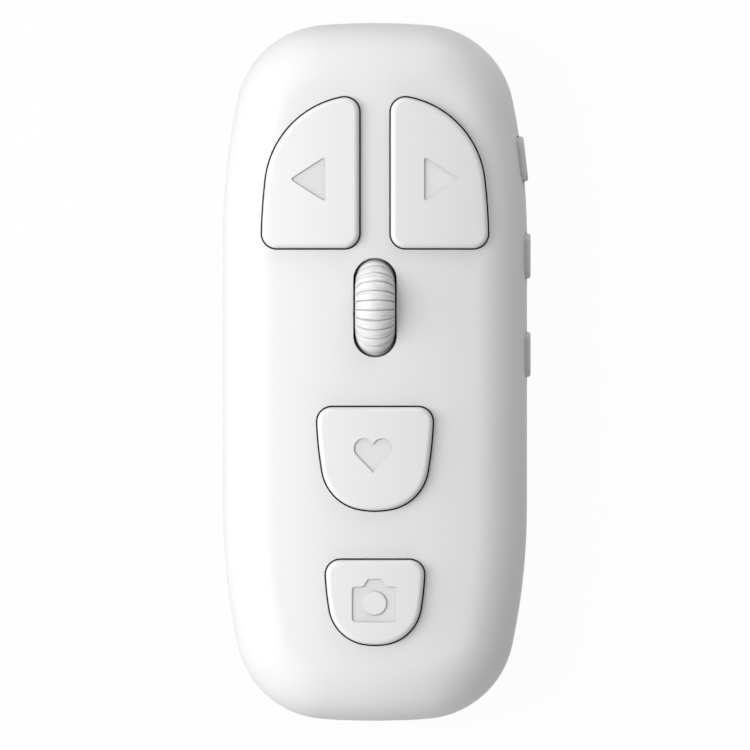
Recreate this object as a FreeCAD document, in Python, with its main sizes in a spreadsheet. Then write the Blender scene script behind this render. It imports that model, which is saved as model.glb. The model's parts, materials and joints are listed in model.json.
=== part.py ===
import FreeCAD, Part
import math
import os
import re
import Sketcher

# Hand remote with a scroll wheel, a pebble-shaped case 90 mm long.
# X runs to the right seen from the front, Y towards the arrow keys, Z out of the key face.
# The origin is the centre of the flat back face.

doc = FreeCAD.newDocument("scroll_wheel_remote")
sheet = doc.addObject("Spreadsheet::Sheet", "dims")

# Sizes in mm, degrees and counts
SIZES = {
    # Case
    "case_length": 90.0,  # over both curved ends
    "case_width": 39.2,  # over the straight sides
    "crown_top": 17.0,  # height of the front face on the centre line
    "end_run": 27.7,  # from the tip to where the side runs straight
    "flank_radius": 85.8,  # gentle curve that leaves the straight side
    "corner_radius": 12.0,  # plan corner between flank and end
    "end_radius": 82.6,  # plan curve of the end
    "crown_radius": 70.0,  # front face, across
    "crown_sweep": 600.0,  # front face, along
    "top_round": 8.0,  # edge between side and front face
    "base_round": 5.0,  # edge between side and back face
    "case_wall": 1.6,  # thickness of both shells
    "seam_height": 5.5,  # joint between the shells
    "reveal_depth": 0.25,  # shadow groove at the seam, inwards
    "reveal_height": 0.3,  # shadow groove at the seam, upwards
    "tongue_height": 1.0,  # rib of the back shell inside the front one
    "tongue_thick": 0.7,  # thickness of that rib
    "tongue_gap": 0.1,  # around and above the tongue
    # Arrow keys
    "arrow_inner": 2.03,  # straight inner edge, from the centre line
    "arrow_outer": 14.56,  # outer edge at the lower corner
    "arrow_base": 15.92,  # lower edge
    "arrow_flank": 77.5,  # curve of the outer edge
    "arrow_shoulder": 12.1,  # curve that rounds the upper outer corner
    "arrow_shoulder_y": 23.4,  # centre of that curve
    "arrow_corner": 1.9,  # small corners
    "arrow_stem_x": 8.0,  # switch under an arrow key, from the centre line
    "arrow_stem_y": 25.0,  # and along the case
    # Like key
    "like_half": 7.46,  # half width at the upper edge
    "like_top": -4.52,  # upper edge
    "like_low": -17.82,  # lowest point
    "like_flank": 48.8,  # curve of the sides
    "like_shoulder": 5.89,  # curve between side and lower edge
    "like_end": 10.59,  # curve of the lower edge
    "like_corner": 1.9,  # small upper corners
    "like_stem_y": -10.6,  # switch under the key
    # Camera key
    "camera_half": 6.36,  # half width at the upper edge
    "camera_top": -24.17,  # upper edge
    "camera_low": -35.09,  # lowest point
    "camera_flank": 38.8,  # curve of the sides
    "camera_shoulder": 5.37,  # curve between side and lower edge
    "camera_end": 9.79,  # curve of the lower edge
    "camera_corner": 1.9,  # small upper corners
    "camera_stem_y": -29.2,  # switch under the key
    # All big keys
    "key_rise": 1.0,  # top of a key above the case
    "key_edge": 0.7,  # round along the rim of a key
    "key_gap": 0.2,  # between a key and its opening
    "key_wall": 1.2,  # skirt of a key
    "key_roof": 1.4,  # top of a key
    "key_rib": 0.8,  # cross ribs under the top
    "key_rib_low": 12.8,  # lower edge of the cross ribs
    "flange_reach": 0.7,  # flange beyond the key outline
    "flange_thick": 0.95,  # thickness of that flange
    "rest_gap": 0.05,  # play of a released key or wheel
    "well_low": 12.2,  # lower edge of the guide wall round a key
    "well_wall": 0.8,  # guide wall round a key
    "stem_radius": 1.4,  # post that presses the switch
    # Board and its switches
    "board_low": 6.3,  # underside of the circuit board
    "board_thick": 1.0,  # thickness of the board
    "board_gap": 0.6,  # board edge to the inner wall
    "switch_side": 5.2,  # square base of a top switch
    "switch_base": 1.8,  # height of the base
    "switch_plate": 0.25,  # metal cover
    "switch_rise": 2.8,  # top of the plunger above the board
    "switch_travel_room": 0.4,  # space under the plunger
    "plunger_radius": 1.3,  # round plunger of a top switch
    "plunger_foot": 1.6,  # radius of the plunger's collar
    "plunger_foot_thick": 0.45,  # thickness of that collar
    "plunger_play": 0.12,  # round the plunger
    # Wheel and axle
    "wheel_y": 8.28,  # axle along the case
    "wheel_z": 12.7,  # axle above the back face
    "wheel_radius": 7.2,  # over the ribs
    "wheel_width": 5.14,  # width of the tyre
    "tread_round": 2.6,  # round of the tyre's section
    "hub_radius": 4.6,  # seat of the tyre
    "hub_rim": 0.9,  # thickness of the rim
    "hub_width": 4.4,  # width of the rim
    "hub_web": 1.4,  # thickness of the web
    "hub_boss": 1.6,  # radius of the boss
    "hub_hole": 0.55,  # radius of the holes in the web
    "hub_holes": 6,  # number of holes in the web
    "rib_count": 34,  # ribs round the tyre
    "rib_gap_width": 0.26,  # groove between two ribs
    "rib_gap_depth": 0.3,  # depth of that groove
    "rib_gap_sweep": 156.0,  # angle of a groove round the tread
    "rib_gap_clear": 0.05,  # groove tool above the tread
    "slot_width": 5.6,  # opening for the wheel
    "slot_length": 12.8,  # length of that opening
    "slot_lip": 0.03,  # room round the tyre, narrower than the opening on each side
    "wheel_room": 0.4,  # round the tyre under the case
    "axle_radius": 0.9,  # round end of the axle
    "axle_past": 0.2,  # round axle beyond its guide
    "hex_flats": 1.75,  # six-sided end of the axle, across flats
    "hex_root": 0.5,  # six-sided axle inside the hub
    "hex_play": 0.24,  # rotor hole wider than the axle
    "axle_right": 8.0,  # end of the six-sided axle
    "bush_left": -7.2,  # left face of the bush
    "bush_right": -4.8,  # right face of the bush
    "bush_top": 14.0,  # top of the bush
    "bush_half": 1.8,  # half length along Y
    "bush_play": 0.05,  # round the axle
    "bush_rib": 1.2,  # rib of the case that holds the bush down
    "wheel_switch_x": -6.0,  # switch under the bush
    "guide_gap": 0.25,  # guide to the wheel's switch
    "guide_thick": 1.0,  # thickness of the guide
    "guide_top": 14.2,  # top of the guide
    "guide_half": 2.4,  # half length along Y
    "guide_play": 0.1,  # each side of the axle
    "guide_foot": 1.0,  # foot on the board
    "guide_drop": 0.5,  # slot reaches below the axle
    # Encoder
    "encoder_left": 3.9,  # left face of the encoder
    "encoder_right": 7.7,  # right face of its moulded body
    "encoder_half": 3.1,  # half width of the base
    "encoder_neck": 2.05,  # radius of the round top
    "encoder_shoulder": 10.6,  # height of the wide part
    "encoder_plate": 0.25,  # metal cover
    "rotor_radius": 1.6,  # rotor in the body
    "rotor_play": 0.05,  # round the rotor
    "rotor_flange": 0.1,  # rotor inside the faces of the body
    "pin_radius": 0.3,  # solder pins
    "pin_pitch": 2.0,  # from pin to pin
    "pin_out": 0.5,  # pin below the board
    "pin_play": 0.15,  # round a pin in the board
    # Side keys and their switches
    "power_y": 27.46,  # middle of the first side key
    "volume_up_y": 14.96,  # middle of the second side key
    "volume_down_y": 2.26,  # middle of the third side key
    "side_z": 8.8,  # middle height of the side keys
    "side_length": 5.8,  # side key along the case
    "side_height": 2.4,  # side key across
    "side_proud": 0.45,  # beyond the case
    "side_edge": 0.3,  # round of the outer edge
    "side_gap": 0.15,  # round a side key in its slot
    "side_flange": 0.7,  # thickness of the flange
    "side_flange_reach": 0.8,  # flange beyond each end
    "side_tip_gap": 0.05,  # side key to its plunger
    "side_body_out": 1.4,  # case wall to the switch body
    "side_body_deep": 3.2,  # switch body into the case
    "side_body_long": 4.7,  # switch body along the wall
    "side_body_high": 1.8,  # switch body above the board
    "side_plunger_long": 1.8,  # heel of the plunger along the wall
    "side_plunger_high": 1.0,  # height of the plunger
    "side_plunger_in": 1.2,  # plunger inside the body
    "side_plunger_play": 0.12,  # round the plunger
    "side_room": 0.5,  # space behind the plunger
    "side_cover": 0.2,  # metal cover
    "side_ear": 1.6,  # clip of the cover, into the case
    # Screws and posts
    "screw_side": 9.1,  # screws in from the case's sides
    "screw_end": 8.5,  # screws in from the case's ends
    "screw_shank": 0.95,  # radius over the thread
    "screw_head": 1.8,  # radius
    "screw_head_thick": 1.3,  # thickness of the head
    "screw_recess": 2.2,  # depth of the screw's recess
    "screw_bite": 5.0,  # shank inside the pillar
    "screw_play": 0.05,  # round the shank in the pillar
    "screw_clear": 0.2,  # round the shank in boss and board
    "head_clear": 0.3,  # round the head
    "drive_radius": 0.7,  # cross recess
    "drive_depth": 0.7,  # depth of the cross recess
    "drive_slot": 0.35,  # width of each arm of the cross
    "pillar_radius": 2.2,  # pillars of the front shell
    "boss_radius": 2.8,  # bosses of the back shell
    "pilot_end": 0.6,  # pilot hole beyond the screw
    "post_x": 13.6,  # posts under the board
    "post_y": -2.0,  # posts along the case
    "post_radius": 1.4,  # radius of a post
    # Battery
    "cell_width": 20.0,  # across the case
    "cell_thick": 4.0,  # thickness of the cell
    "cell_head": -6.5,  # end nearest the wheel, along the case
    "cell_inset": 13.5,  # other end, in from the case's lower end
    "cell_round": 1.2,  # long edges
    "cell_tab": 1.2,  # folded end with the protection board
    "cell_tab_inset": 1.5,  # folded end in from the cell's sides
    "cell_tab_low": 0.5,  # folded end above the cell's underside
    "cell_tab_high": 2.8,  # top of the folded end above the cell's underside
    "foam_thick": 0.3,  # pad under the cell
    "foam_inset": 1.5,  # pad inside the cell's outline
    "fence_gap": 0.3,  # fence to the cell
    "fence_thick": 0.8,  # thickness of the fence
    "fence_height": 2.6,  # fence above the floor
    "fence_run": 5.0,  # length of each fence wall
    "lead_radius": 0.45,  # radius of a lead
    # Socket
    "socket_width": 8.94,  # over the metal shell
    "socket_height": 3.26,  # over the metal shell
    "socket_depth": 7.3,  # from mouth to back
    "socket_skin": 0.3,  # metal wall
    "socket_back": 0.4,  # closed end
    "socket_inset": 0.7,  # mouth behind the case end
    "socket_clear": 0.2,  # round the socket in the case
    "socket_notch": 0.1,  # round the socket in the board
    "socket_tab_out": 1.2,  # solder tab beyond the metal shell
    "socket_tab_long": 1.2,  # solder tab along the case
    "socket_tab_thick": 0.3,  # thickness of a solder tab
    "socket_tab_back": 1.2,  # first tabs from the closed end
    "socket_tab_pitch": 3.4,  # second tabs from the first
    "tongue_wide": 6.69,  # contact tongue across
    "tongue_slim": 0.7,  # thickness of the contact tongue
    "tongue_out": 4.45,  # tongue in front of its block
    "tongue_block": 2.0,  # depth of that block
    "block_gap": 0.03,  # block inside the metal wall
    # Small board parts
    "radio_end": 8.1,  # middle of the radio module, in from the case's upper end
    "radio_width": 11.0,  # module across the case
    "radio_length": 9.0,  # module along the case
    "radio_thick": 0.8,  # thickness of the module
    "shield_width": 9.4,  # metal shield across
    "shield_length": 6.0,  # metal shield along the case
    "shield_height": 1.3,  # above the module
    "shield_skin": 0.2,  # metal wall
    "shield_shift": -1.1,  # shield off the middle, clear of the aerial
    "chip_side": 3.0,  # charging chip, square
    "chip_height": 0.8,  # charging chip above the board
    "charge_x": 8.5,  # charging chip from the centre line
    "charge_end": 14.4,  # charging chip, in from the case's lower end
    "small_length": 1.6,  # small board parts
    "small_width": 0.8,  # small board parts
    "small_height": 0.6,  # small board parts
}

# The sheet holds a row for each size: its name, then its number in a cell that bears the name
for row, (alias, number) in enumerate(SIZES.items(), 1):
    sheet.set(f"A{row}", alias)
    sheet.set(f"B{row}", str(number))
    sheet.setAlias(f"B{row}", alias)
doc.recompute()

WORD = re.compile(r"[a-z_]+")
TINY = 0.001  # slack when faces and edges are compared
RUNS_ON = 0.05  # largest sine of the turn at which two curves still run on smoothly
WALL_TURN = 0.98  # cosine between two walls below which they meet at a corner


def size(name):
    """The number that the sheet holds under a name."""
    return float(sheet.get(name))


def in_sheet(rule):
    """A rule in plain size names, turned to one that names the sheet's cells."""
    return WORD.sub(lambda word: "dims." + word.group() if word.group() in SIZES else word.group(), rule)


def bind(item, **rules):
    """Ties properties to the sheet; Placement_Base_x stands for Placement.Base.x."""
    for name, rule in rules.items():
        item.setExpression(name.replace("_", "."), in_sheet(rule))


def put(item, x="0", y="0", z="0"):
    """Ties an item's place to the sheet."""
    bind(item, Placement_Base_x=x, Placement_Base_y=y, Placement_Base_z=z)
    return item


# Plain solids and booleans

def box(name, x, y, z):
    """A block between a low and a high rule along each axis."""
    item = doc.addObject("Part::Box", name)
    bind(item, Length=f"{x[1]} - ({x[0]})", Width=f"{y[1]} - ({y[0]})", Height=f"{z[1]} - ({z[0]})")
    return put(item, x[0], y[0], z[0])


TURNS = {
    "x": FreeCAD.Rotation(FreeCAD.Vector(0, 1, 0), 90),
    "y": FreeCAD.Rotation(FreeCAD.Vector(1, 0, 0), -90),
    "z": FreeCAD.Rotation(),
}


def rod(name, axis, radius, low, high, across):
    """A cylinder along an axis from low to high, centred on the other two coordinates."""
    item = doc.addObject("Part::Cylinder", name)
    item.Placement = FreeCAD.Placement(FreeCAD.Vector(), TURNS[axis])
    bind(item, Radius=radius, Height=f"{high} - ({low})")
    place = {"x": (low, *across), "y": (across[0], low, across[1]), "z": (*across, low)}[axis]
    return put(item, *place)


def hex_rod(name, flats, low, high, across):
    """A six-sided bar along X, sized across its flats, with a flat side up."""
    item = doc.addObject("Part::Prism", name)
    item.Polygon = 6
    item.Placement = FreeCAD.Placement(FreeCAD.Vector(), TURNS["x"])
    bind(item, Circumradius=f"({flats}) / sqrt(3)", Height=f"{high} - ({low})")
    return put(item, low, *across)


def fuse(name, *items):
    item = doc.addObject("Part::MultiFuse", name)
    item.Shapes = list(items)
    item.Refine = True
    return item


def common(name, *items):
    item = doc.addObject("Part::MultiCommon", name)
    item.Shapes = list(items)
    return item


def cut(name, base, *tools):
    item = doc.addObject("Part::Cut", name)
    item.Base = base
    item.Tool = tools[0] if len(tools) == 1 else fuse(name + "_tools", *tools)
    item.Refine = True
    return item


def group(name, *items):
    """Separate solids that share one name."""
    item = doc.addObject("Part::Compound", name)
    item.Links = list(items)
    return item


# Sketches: an outline is a closed chain of lines and arcs, held by named sizes

def new_sketch(body, name, plane="XY_Plane", height="0"):
    """A sketch on one of the body's own planes, raised by a rule."""
    sketch = body.newObject("Sketcher::SketchObject", name)
    role = [feature for feature in body.Origin.OriginFeatures if feature.Role == plane]
    sketch.AttachmentSupport = [(role[0], "")]
    sketch.MapMode = "FlatFace"
    if height != "0":
        bind(sketch, AttachmentOffset_Base_z=height)
    return sketch


def hold(sketch, kind, *where, rule=None):
    """Adds a constraint; with a rule, its value follows the sheet."""
    number = sketch.addConstraint(Sketcher.Constraint(kind, *where))
    if rule is not None:
        sketch.renameConstraint(number, f"size_{number}")
        sketch.setExpression(f"Constraints.size_{number}", in_sheet(rule))


def hold_point(sketch, geometry, end, x=None, y=None):
    """Keeps a point at a given distance from the sketch's axes."""
    point = sketch.getPoint(geometry, end)
    if x == "0":
        hold(sketch, "PointOnObject", geometry, end, -2)
    elif x is not None:
        hold(sketch, "DistanceX", -1, 1, geometry, end, point.x, rule=x)
    if y == "0":
        hold(sketch, "PointOnObject", geometry, end, -1)
    elif y is not None:
        hold(sketch, "DistanceY", -1, 1, geometry, end, point.y, rule=y)


def add_line(sketch, start, end, construction=False):
    line = Part.LineSegment(FreeCAD.Vector(*start, 0), FreeCAD.Vector(*end, 0))
    return sketch.addGeometry(line, construction)


def add_arc(sketch, centre, radius, start, end):
    """An arc through a start and an end angle in degrees, counted anticlockwise."""
    circle = Part.Circle(FreeCAD.Vector(*centre, 0), FreeCAD.Vector(0, 0, 1), radius)
    return sketch.addGeometry(Part.ArcOfCircle(circle, math.radians(start), math.radians(end)), False)


def direction(sketch, geometry, end):
    """Direction of a line or arc at one of its ends."""
    curve = sketch.Geometry[geometry]
    return curve.tangent(curve.FirstParameter if end == 1 else curve.LastParameter)[0]


def join_chain(sketch, chain):
    """Joins neighbours end to end, smoothly where they already run on."""
    for first, second in zip(chain, chain[1:] + chain[:1]):
        pairs = [(a, b) for a in (1, 2) for b in (1, 2)]
        gaps = [(sketch.getPoint(first, a) - sketch.getPoint(second, b)).Length for a, b in pairs]
        a, b = pairs[gaps.index(min(gaps))]
        turn = direction(sketch, first, a).cross(direction(sketch, second, b)).Length
        hold(sketch, "Tangent" if turn < RUNS_ON else "Coincident", first, a, second, b)


def polygon(sketch, corners):
    """A closed outline through corners that are each given by two rules."""
    count = len(corners)
    ring = [(math.cos(2 * math.pi * i / count), math.sin(2 * math.pi * i / count)) for i in range(count)]
    lines = [add_line(sketch, ring[i], ring[(i + 1) % count]) for i in range(count)]
    for i, line in enumerate(lines):
        hold(sketch, "Coincident", line, 2, lines[(i + 1) % count], 1)
        hold_point(sketch, line, 1, *corners[i])


def tangent_angles(flank_centre, flank, shoulder, end_centre, end):
    """Angles at which a shoulder arc meets the flank arc and the end arc it rounds off."""
    span = end_centre - flank_centre
    reach = span.Length
    near = flank - shoulder
    far = end - shoulder
    along = (near ** 2 - far ** 2 + reach ** 2) / (2 * reach)
    aside = math.sqrt(near ** 2 - along ** 2)
    unit = span / reach
    centre = flank_centre + unit * along + FreeCAD.Vector(-unit.y, unit.x, 0) * aside
    angles = [math.degrees(math.atan2(ray.y, ray.x)) for ray in (centre - flank_centre, centre - end_centre)]
    return centre, angles[0], angles[1]


def case_outline(sketch, spread):
    """The pebble's plan: straight sides, gentle flanks, tight corners and shallow ends."""
    half = size("case_width") / 2
    tip = size("case_length") / 2
    straight = tip - size("end_run")
    flank, corner, end = size("flank_radius"), size("corner_radius"), size("end_radius")
    flank_centre = FreeCAD.Vector(half - flank, straight, 0)
    end_centre = FreeCAD.Vector(0, tip - end, 0)
    middle, low, high = tangent_angles(flank_centre, flank, corner, end_centre, end)
    right = add_line(sketch, (half, -straight), (half, straight))
    top = [
        add_arc(sketch, (half - flank, straight), flank, 0, low),
        add_arc(sketch, (middle.x, middle.y), corner, low, high),
        add_arc(sketch, (0, tip - end), end, high, 180 - high),
        add_arc(sketch, (-middle.x, middle.y), corner, 180 - high, 180 - low),
        add_arc(sketch, (flank - half, straight), flank, 180 - low, 180),
    ]
    left = add_line(sketch, (-half, straight), (-half, -straight))
    bottom = [
        add_arc(sketch, (flank - half, -straight), flank, 180, 180 + low),
        add_arc(sketch, (-middle.x, -middle.y), corner, 180 + low, 180 + high),
        add_arc(sketch, (0, end - tip), end, 180 + high, 360 - high),
        add_arc(sketch, (middle.x, -middle.y), corner, 360 - high, 360 - low),
        add_arc(sketch, (half - flank, -straight), flank, 360 - low, 360),
    ]
    join_chain(sketch, [right] + top + [left] + bottom)
    rules = ["flank_radius", "corner_radius", "end_radius", "corner_radius", "flank_radius"]
    for arcs, side in ((top, 1), (bottom, -1)):
        for arc, rule in zip(arcs, rules):
            hold(sketch, "Radius", arc, size(rule), rule=f"{rule} + ({spread})")
        hold_point(sketch, arcs[2], 3, x="0", y=f"{side} * (case_length / 2 - end_radius)")
    for line, side in ((right, 1), (left, -1)):
        hold(sketch, "Vertical", line)
        hold_point(sketch, line, 1, x=f"{side} * (case_width / 2 + {spread})",
                   y=f"{-side} * (case_length / 2 - end_run)")
        hold_point(sketch, line, 2, y=f"{side} * (case_length / 2 - end_run)")


def arrow_outline(side):
    """Plan of an arrow key: straight foot and inner edge, joined by one swept shoulder."""
    def draw(sketch, spread):
        inner, outer, base = size("arrow_inner"), size("arrow_outer"), size("arrow_base")
        flank, shoulder, middle_y = size("arrow_flank"), size("arrow_shoulder"), size("arrow_shoulder_y")
        low = math.asin((middle_y - base) / (flank - shoulder))
        middle_x = outer - flank + (flank - shoulder) * math.cos(low)
        low = math.degrees(low)
        top = math.degrees(math.acos((inner - middle_x) / shoulder))
        top_y = middle_y + shoulder * math.sin(math.radians(top))
        foot = add_line(sketch, (side * inner, base), (side * outer, base))
        if side > 0:
            flank_arc = add_arc(sketch, (outer - flank, base), flank, 0, low)
            shoulder_arc = add_arc(sketch, (middle_x, middle_y), shoulder, low, top)
        else:
            flank_arc = add_arc(sketch, (flank - outer, base), flank, 180 - low, 180)
            shoulder_arc = add_arc(sketch, (-middle_x, middle_y), shoulder, 180 - top, 180 - low)
        edge = add_line(sketch, (side * inner, top_y), (side * inner, base))
        join_chain(sketch, [foot, flank_arc, shoulder_arc, edge])
        hold(sketch, "Horizontal", foot)
        hold(sketch, "Vertical", edge)
        hold_point(sketch, foot, 1, x=f"{side} * (arrow_inner - ({spread}))", y=f"arrow_base - ({spread})")
        hold(sketch, "Radius", flank_arc, flank, rule=f"arrow_flank + ({spread})")
        hold(sketch, "Radius", shoulder_arc, shoulder, rule=f"arrow_shoulder + ({spread})")
        hold_point(sketch, flank_arc, 3, x=f"{side} * (arrow_outer - arrow_flank)", y="arrow_base")
        hold_point(sketch, shoulder_arc, 3, y="arrow_shoulder_y")
    return draw


def shield_outline(key):
    """Plan of the like and camera keys: straight upper edge, sides drawn in to a round foot."""
    def draw(sketch, spread):
        half, top, foot = size(key + "_half"), size(key + "_top"), size(key + "_low")
        flank, shoulder, end = size(key + "_flank"), size(key + "_shoulder"), size(key + "_end")
        flank_centre = FreeCAD.Vector(half - flank, -top, 0)
        end_centre = FreeCAD.Vector(0, -foot - end, 0)
        middle, low, high = tangent_angles(flank_centre, flank, shoulder, end_centre, end)
        edge = add_line(sketch, (-half, top), (half, top))
        arcs = [
            add_arc(sketch, (half - flank, top), flank, 360 - low, 360),
            add_arc(sketch, (middle.x, -middle.y), shoulder, 360 - high, 360 - low),
            add_arc(sketch, (0, foot + end), end, 180 + high, 360 - high),
            add_arc(sketch, (-middle.x, -middle.y), shoulder, 180 + low, 180 + high),
            add_arc(sketch, (flank - half, top), flank, 180, 180 + low),
        ]
        join_chain(sketch, [edge] + arcs)
        hold(sketch, "Horizontal", edge)
        hold_point(sketch, edge, 1, y=f"{key}_top + ({spread})")
        for arc, part in zip(arcs, ("_flank", "_shoulder", "_end", "_shoulder", "_flank")):
            hold(sketch, "Radius", arc, size(key + part), rule=f"{key}{part} + ({spread})")
        hold_point(sketch, arcs[0], 3, x=f"{key}_half - {key}_flank", y=f"{key}_top")
        hold_point(sketch, arcs[2], 3, x="0", y=f"{key}_low + {key}_end")
        hold_point(sketch, arcs[4], 3, x=f"{key}_flank - {key}_half", y=f"{key}_top")
    return draw


# Solids raised from those outlines

def upright(face):
    """Whether a face stands straight up."""
    low_u, high_u, low_v, high_v = face.ParameterRange
    return abs(face.normalAt((low_u + high_u) / 2, (low_v + high_v) / 2).z) < TINY


def edge_names(shape, test):
    """Names of the edges that pass a test on the edge and its two faces."""
    names = []
    for number, edge in enumerate(shape.Edges, 1):
        faces = shape.ancestorsOfType(edge, Part.Face)
        if len(faces) == 2 and test(edge, faces):
            names.append(f"Edge{number}")
    return names


def sharp_corner(edge, faces):
    """An upright edge at which the wall turns a corner."""
    if edge.BoundBox.XLength > TINY or edge.BoundBox.YLength > TINY:
        return False
    point = edge.Vertexes[0].Point
    normals = [face.normalAt(*face.Surface.parameter(point)) for face in faces]
    return abs(normals[0].dot(normals[1])) < WALL_TURN


def upper_rim(edge, faces):
    """An edge between an upright wall and the crowned face on top of it."""
    walls = [upright(face) for face in faces]
    if walls.count(True) != 1:
        return False
    roof = faces[walls.index(False)]
    return roof.CenterOfMass.z > faces[walls.index(True)].CenterOfMass.z


def lower_rim(edge, faces):
    """An edge between an upright wall and the flat face under it."""
    walls = [upright(face) for face in faces]
    if walls.count(True) != 1:
        return False
    floor = faces[walls.index(False)]
    return floor.CenterOfMass.z < faces[walls.index(True)].CenterOfMass.z


def round_edges(body, name, test, radius):
    """Rounds the edges of a body's last feature that pass a test."""
    doc.recompute()
    base = body.Tip
    fillet = body.newObject("PartDesign::Fillet", name)
    fillet.Base = (base, edge_names(base.Shape, test))
    bind(fillet, Radius=radius)
    return fillet


def prism(name, outline, spread, low, high, corner=None):
    """An outline, grown by spread, raised from low to high, with its sharp corners rounded."""
    body = doc.addObject("PartDesign::Body", name)
    sketch = new_sketch(body, name + "_plan", height=low)
    outline(sketch, spread)
    pad = body.newObject("PartDesign::Pad", name + "_pad")
    pad.Profile = sketch
    bind(pad, Length=f"{high} - ({low})")
    if corner:
        round_edges(body, name + "_corners", sharp_corner, f"{corner} + ({spread})")
    return body


def crown(body, name, rise):
    """Cuts the body down to the front face's crown, raised by a rule."""
    sketch = new_sketch(body, name + "_section", "XZ_Plane")
    top, radius, sweep = size("crown_top"), size("crown_radius"), size("crown_sweep")
    reach, lid_height = size("case_width"), 2 * top
    lean = math.degrees(math.asin(reach / radius))
    height = top - radius + math.sqrt(radius ** 2 - reach ** 2)
    arc = add_arc(sketch, (0, top - radius), radius, 90 - lean, 90 + lean)
    left = add_line(sketch, (-reach, height), (-reach, lid_height))
    lid = add_line(sketch, (-reach, lid_height), (reach, lid_height))
    right = add_line(sketch, (reach, lid_height), (reach, height))
    axis = add_line(sketch, (-reach, top - sweep), (reach, top - sweep), True)
    join_chain(sketch, [arc, left, lid, right])
    for line in (left, right):
        hold(sketch, "Vertical", line)
    for line in (lid, axis):
        hold(sketch, "Horizontal", line)
    hold(sketch, "Radius", arc, radius, rule=f"crown_radius + ({rise})")
    hold_point(sketch, arc, 3, x="0", y="crown_top - crown_radius")
    hold_point(sketch, lid, 1, x="-case_width", y="2 * crown_top")
    hold_point(sketch, lid, 2, x="case_width")
    hold_point(sketch, axis, 1, x="-case_width", y="crown_top - crown_sweep")
    hold_point(sketch, axis, 2, x="case_width")
    groove = body.newObject("PartDesign::Groove", name + "_crown")
    groove.Profile = sketch
    groove.ReferenceAxis = (sketch, ["Axis0"])
    groove.Midplane = True
    bind(groove, Angle="4 * asin(case_length / 2 / crown_sweep)")


def pebble(name, offset, low):
    """The upper form of the case, grown by a rule on every side, from a height up."""
    body = prism(name, case_outline, offset, low, f"crown_top + {offset} + 1")
    crown(body, name, offset)
    round_edges(body, name + "_shoulder", upper_rim, f"top_round + ({offset})")
    return body


def tray(name, offset, low, high):
    """The lower form of the case, grown by a rule, with its bottom edge rounded."""
    body = prism(name, case_outline, offset, low, high)
    round_edges(body, name + "_heel", lower_rim, f"base_round + ({offset})")
    return body


def ring(name, outer, inner, low, high):
    """A band that follows the case outline between two spreads."""
    return cut(name, prism(name + "_outer", case_outline, outer, low, high),
               prism(name + "_inner", case_outline, inner, f"{low} - 1", f"{high} + 1"))


BOARD_TOP = "board_low + board_thick"
STEM_LOW = f"{BOARD_TOP} + switch_rise + rest_gap"
FLANGE_LOW = "well_low - rest_gap - flange_thick"
FLANGE_TOP = "well_low - rest_gap"
SKY = "2 * crown_top"

KEYS = {
    "prev": (arrow_outline(-1), "arrow_corner", "-arrow_stem_x", "arrow_stem_y"),
    "next": (arrow_outline(1), "arrow_corner", "arrow_stem_x", "arrow_stem_y"),
    "like": (shield_outline("like"), "like_corner", "0", "like_stem_y"),
    "camera": (shield_outline("camera"), "camera_corner", "0", "camera_stem_y"),
}

GUIDE_RIGHT = "(wheel_switch_x - switch_side / 2 - switch_plate - guide_gap)"
GUIDE_LEFT = f"({GUIDE_RIGHT} - guide_thick)"
AXLE_END = f"{GUIDE_LEFT} - axle_past"

SIDE_KEYS = {"power": "power_y", "volume_up": "volume_up_y", "volume_down": "volume_down_y"}

CELL_LOW = "(case_wall + foam_thick)"
CELL_FOOT = "(cell_inset - case_length / 2)"

SCREW_X = "(case_width / 2 - screw_side)"
SCREW_Y = "(case_length / 2 - screw_end)"
SCREWS = [(x, y) for x in (SCREW_X, "-" + SCREW_X) for y in (SCREW_Y, "-" + SCREW_Y)]


# The wheel's place under the case

def wheel_space(name):
    """Room round the tyre: its rounded form grown all round, yet a touch narrower than the slot."""
    tread = doc.addObject("Part::Torus", name + "_tread")
    tread.Placement = FreeCAD.Placement(FreeCAD.Vector(), TURNS["x"])
    bind(tread, Radius1="wheel_radius - tread_round", Radius2="tread_round + wheel_room")
    disc = rod(name + "_disc", "x", "wheel_radius - tread_round", "-tread_round - wheel_room",
               "tread_round + wheel_room", ("wheel_y", "wheel_z"))
    round_room = fuse(name + "_round", put(tread, "0", "wheel_y", "wheel_z"), disc)
    reach = "(wheel_radius + 2 * wheel_room)"
    between = box(name + "_between", ("-slot_width / 2 + slot_lip", "slot_width / 2 - slot_lip"),
                  (f"wheel_y - {reach}", f"wheel_y + {reach}"), (f"wheel_z - {reach}", f"wheel_z + {reach}"))
    return common(name, round_room, between)


def block(name, x, y, z):
    """A block made from a sketched rectangle, for pieces whose edges are then rounded."""
    body = doc.addObject("PartDesign::Body", name)
    sketch = new_sketch(body, name + "_plan", height=z[0])
    polygon(sketch, [(x[0], y[0]), (x[1], y[0]), (x[1], y[1]), (x[0], y[1])])
    pad = body.newObject("PartDesign::Pad", name + "_pad")
    pad.Profile = sketch
    bind(pad, Length=f"{z[1]} - ({z[0]})")
    return body


def stadium(name, length, width, low, high, x, y):
    """An upright bar with round ends, long along Y."""
    run = f"({length} - {width}) / 2"
    half = f"{width} / 2"
    middle = box(name + "_middle", (f"{x} - {half}", f"{x} + {half}"), (f"{y} - {run}", f"{y} + {run}"),
                 (low, high))
    ends = [rod(f"{name}_{word}", "z", half, low, high, (x, f"{y} {sign} {run}"))
            for word, sign in (("far", "+"), ("near", "-"))]
    return fuse(name, middle, *ends)


# Side keys: made in a frame on the case wall, with X outwards, then turned into place

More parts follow.
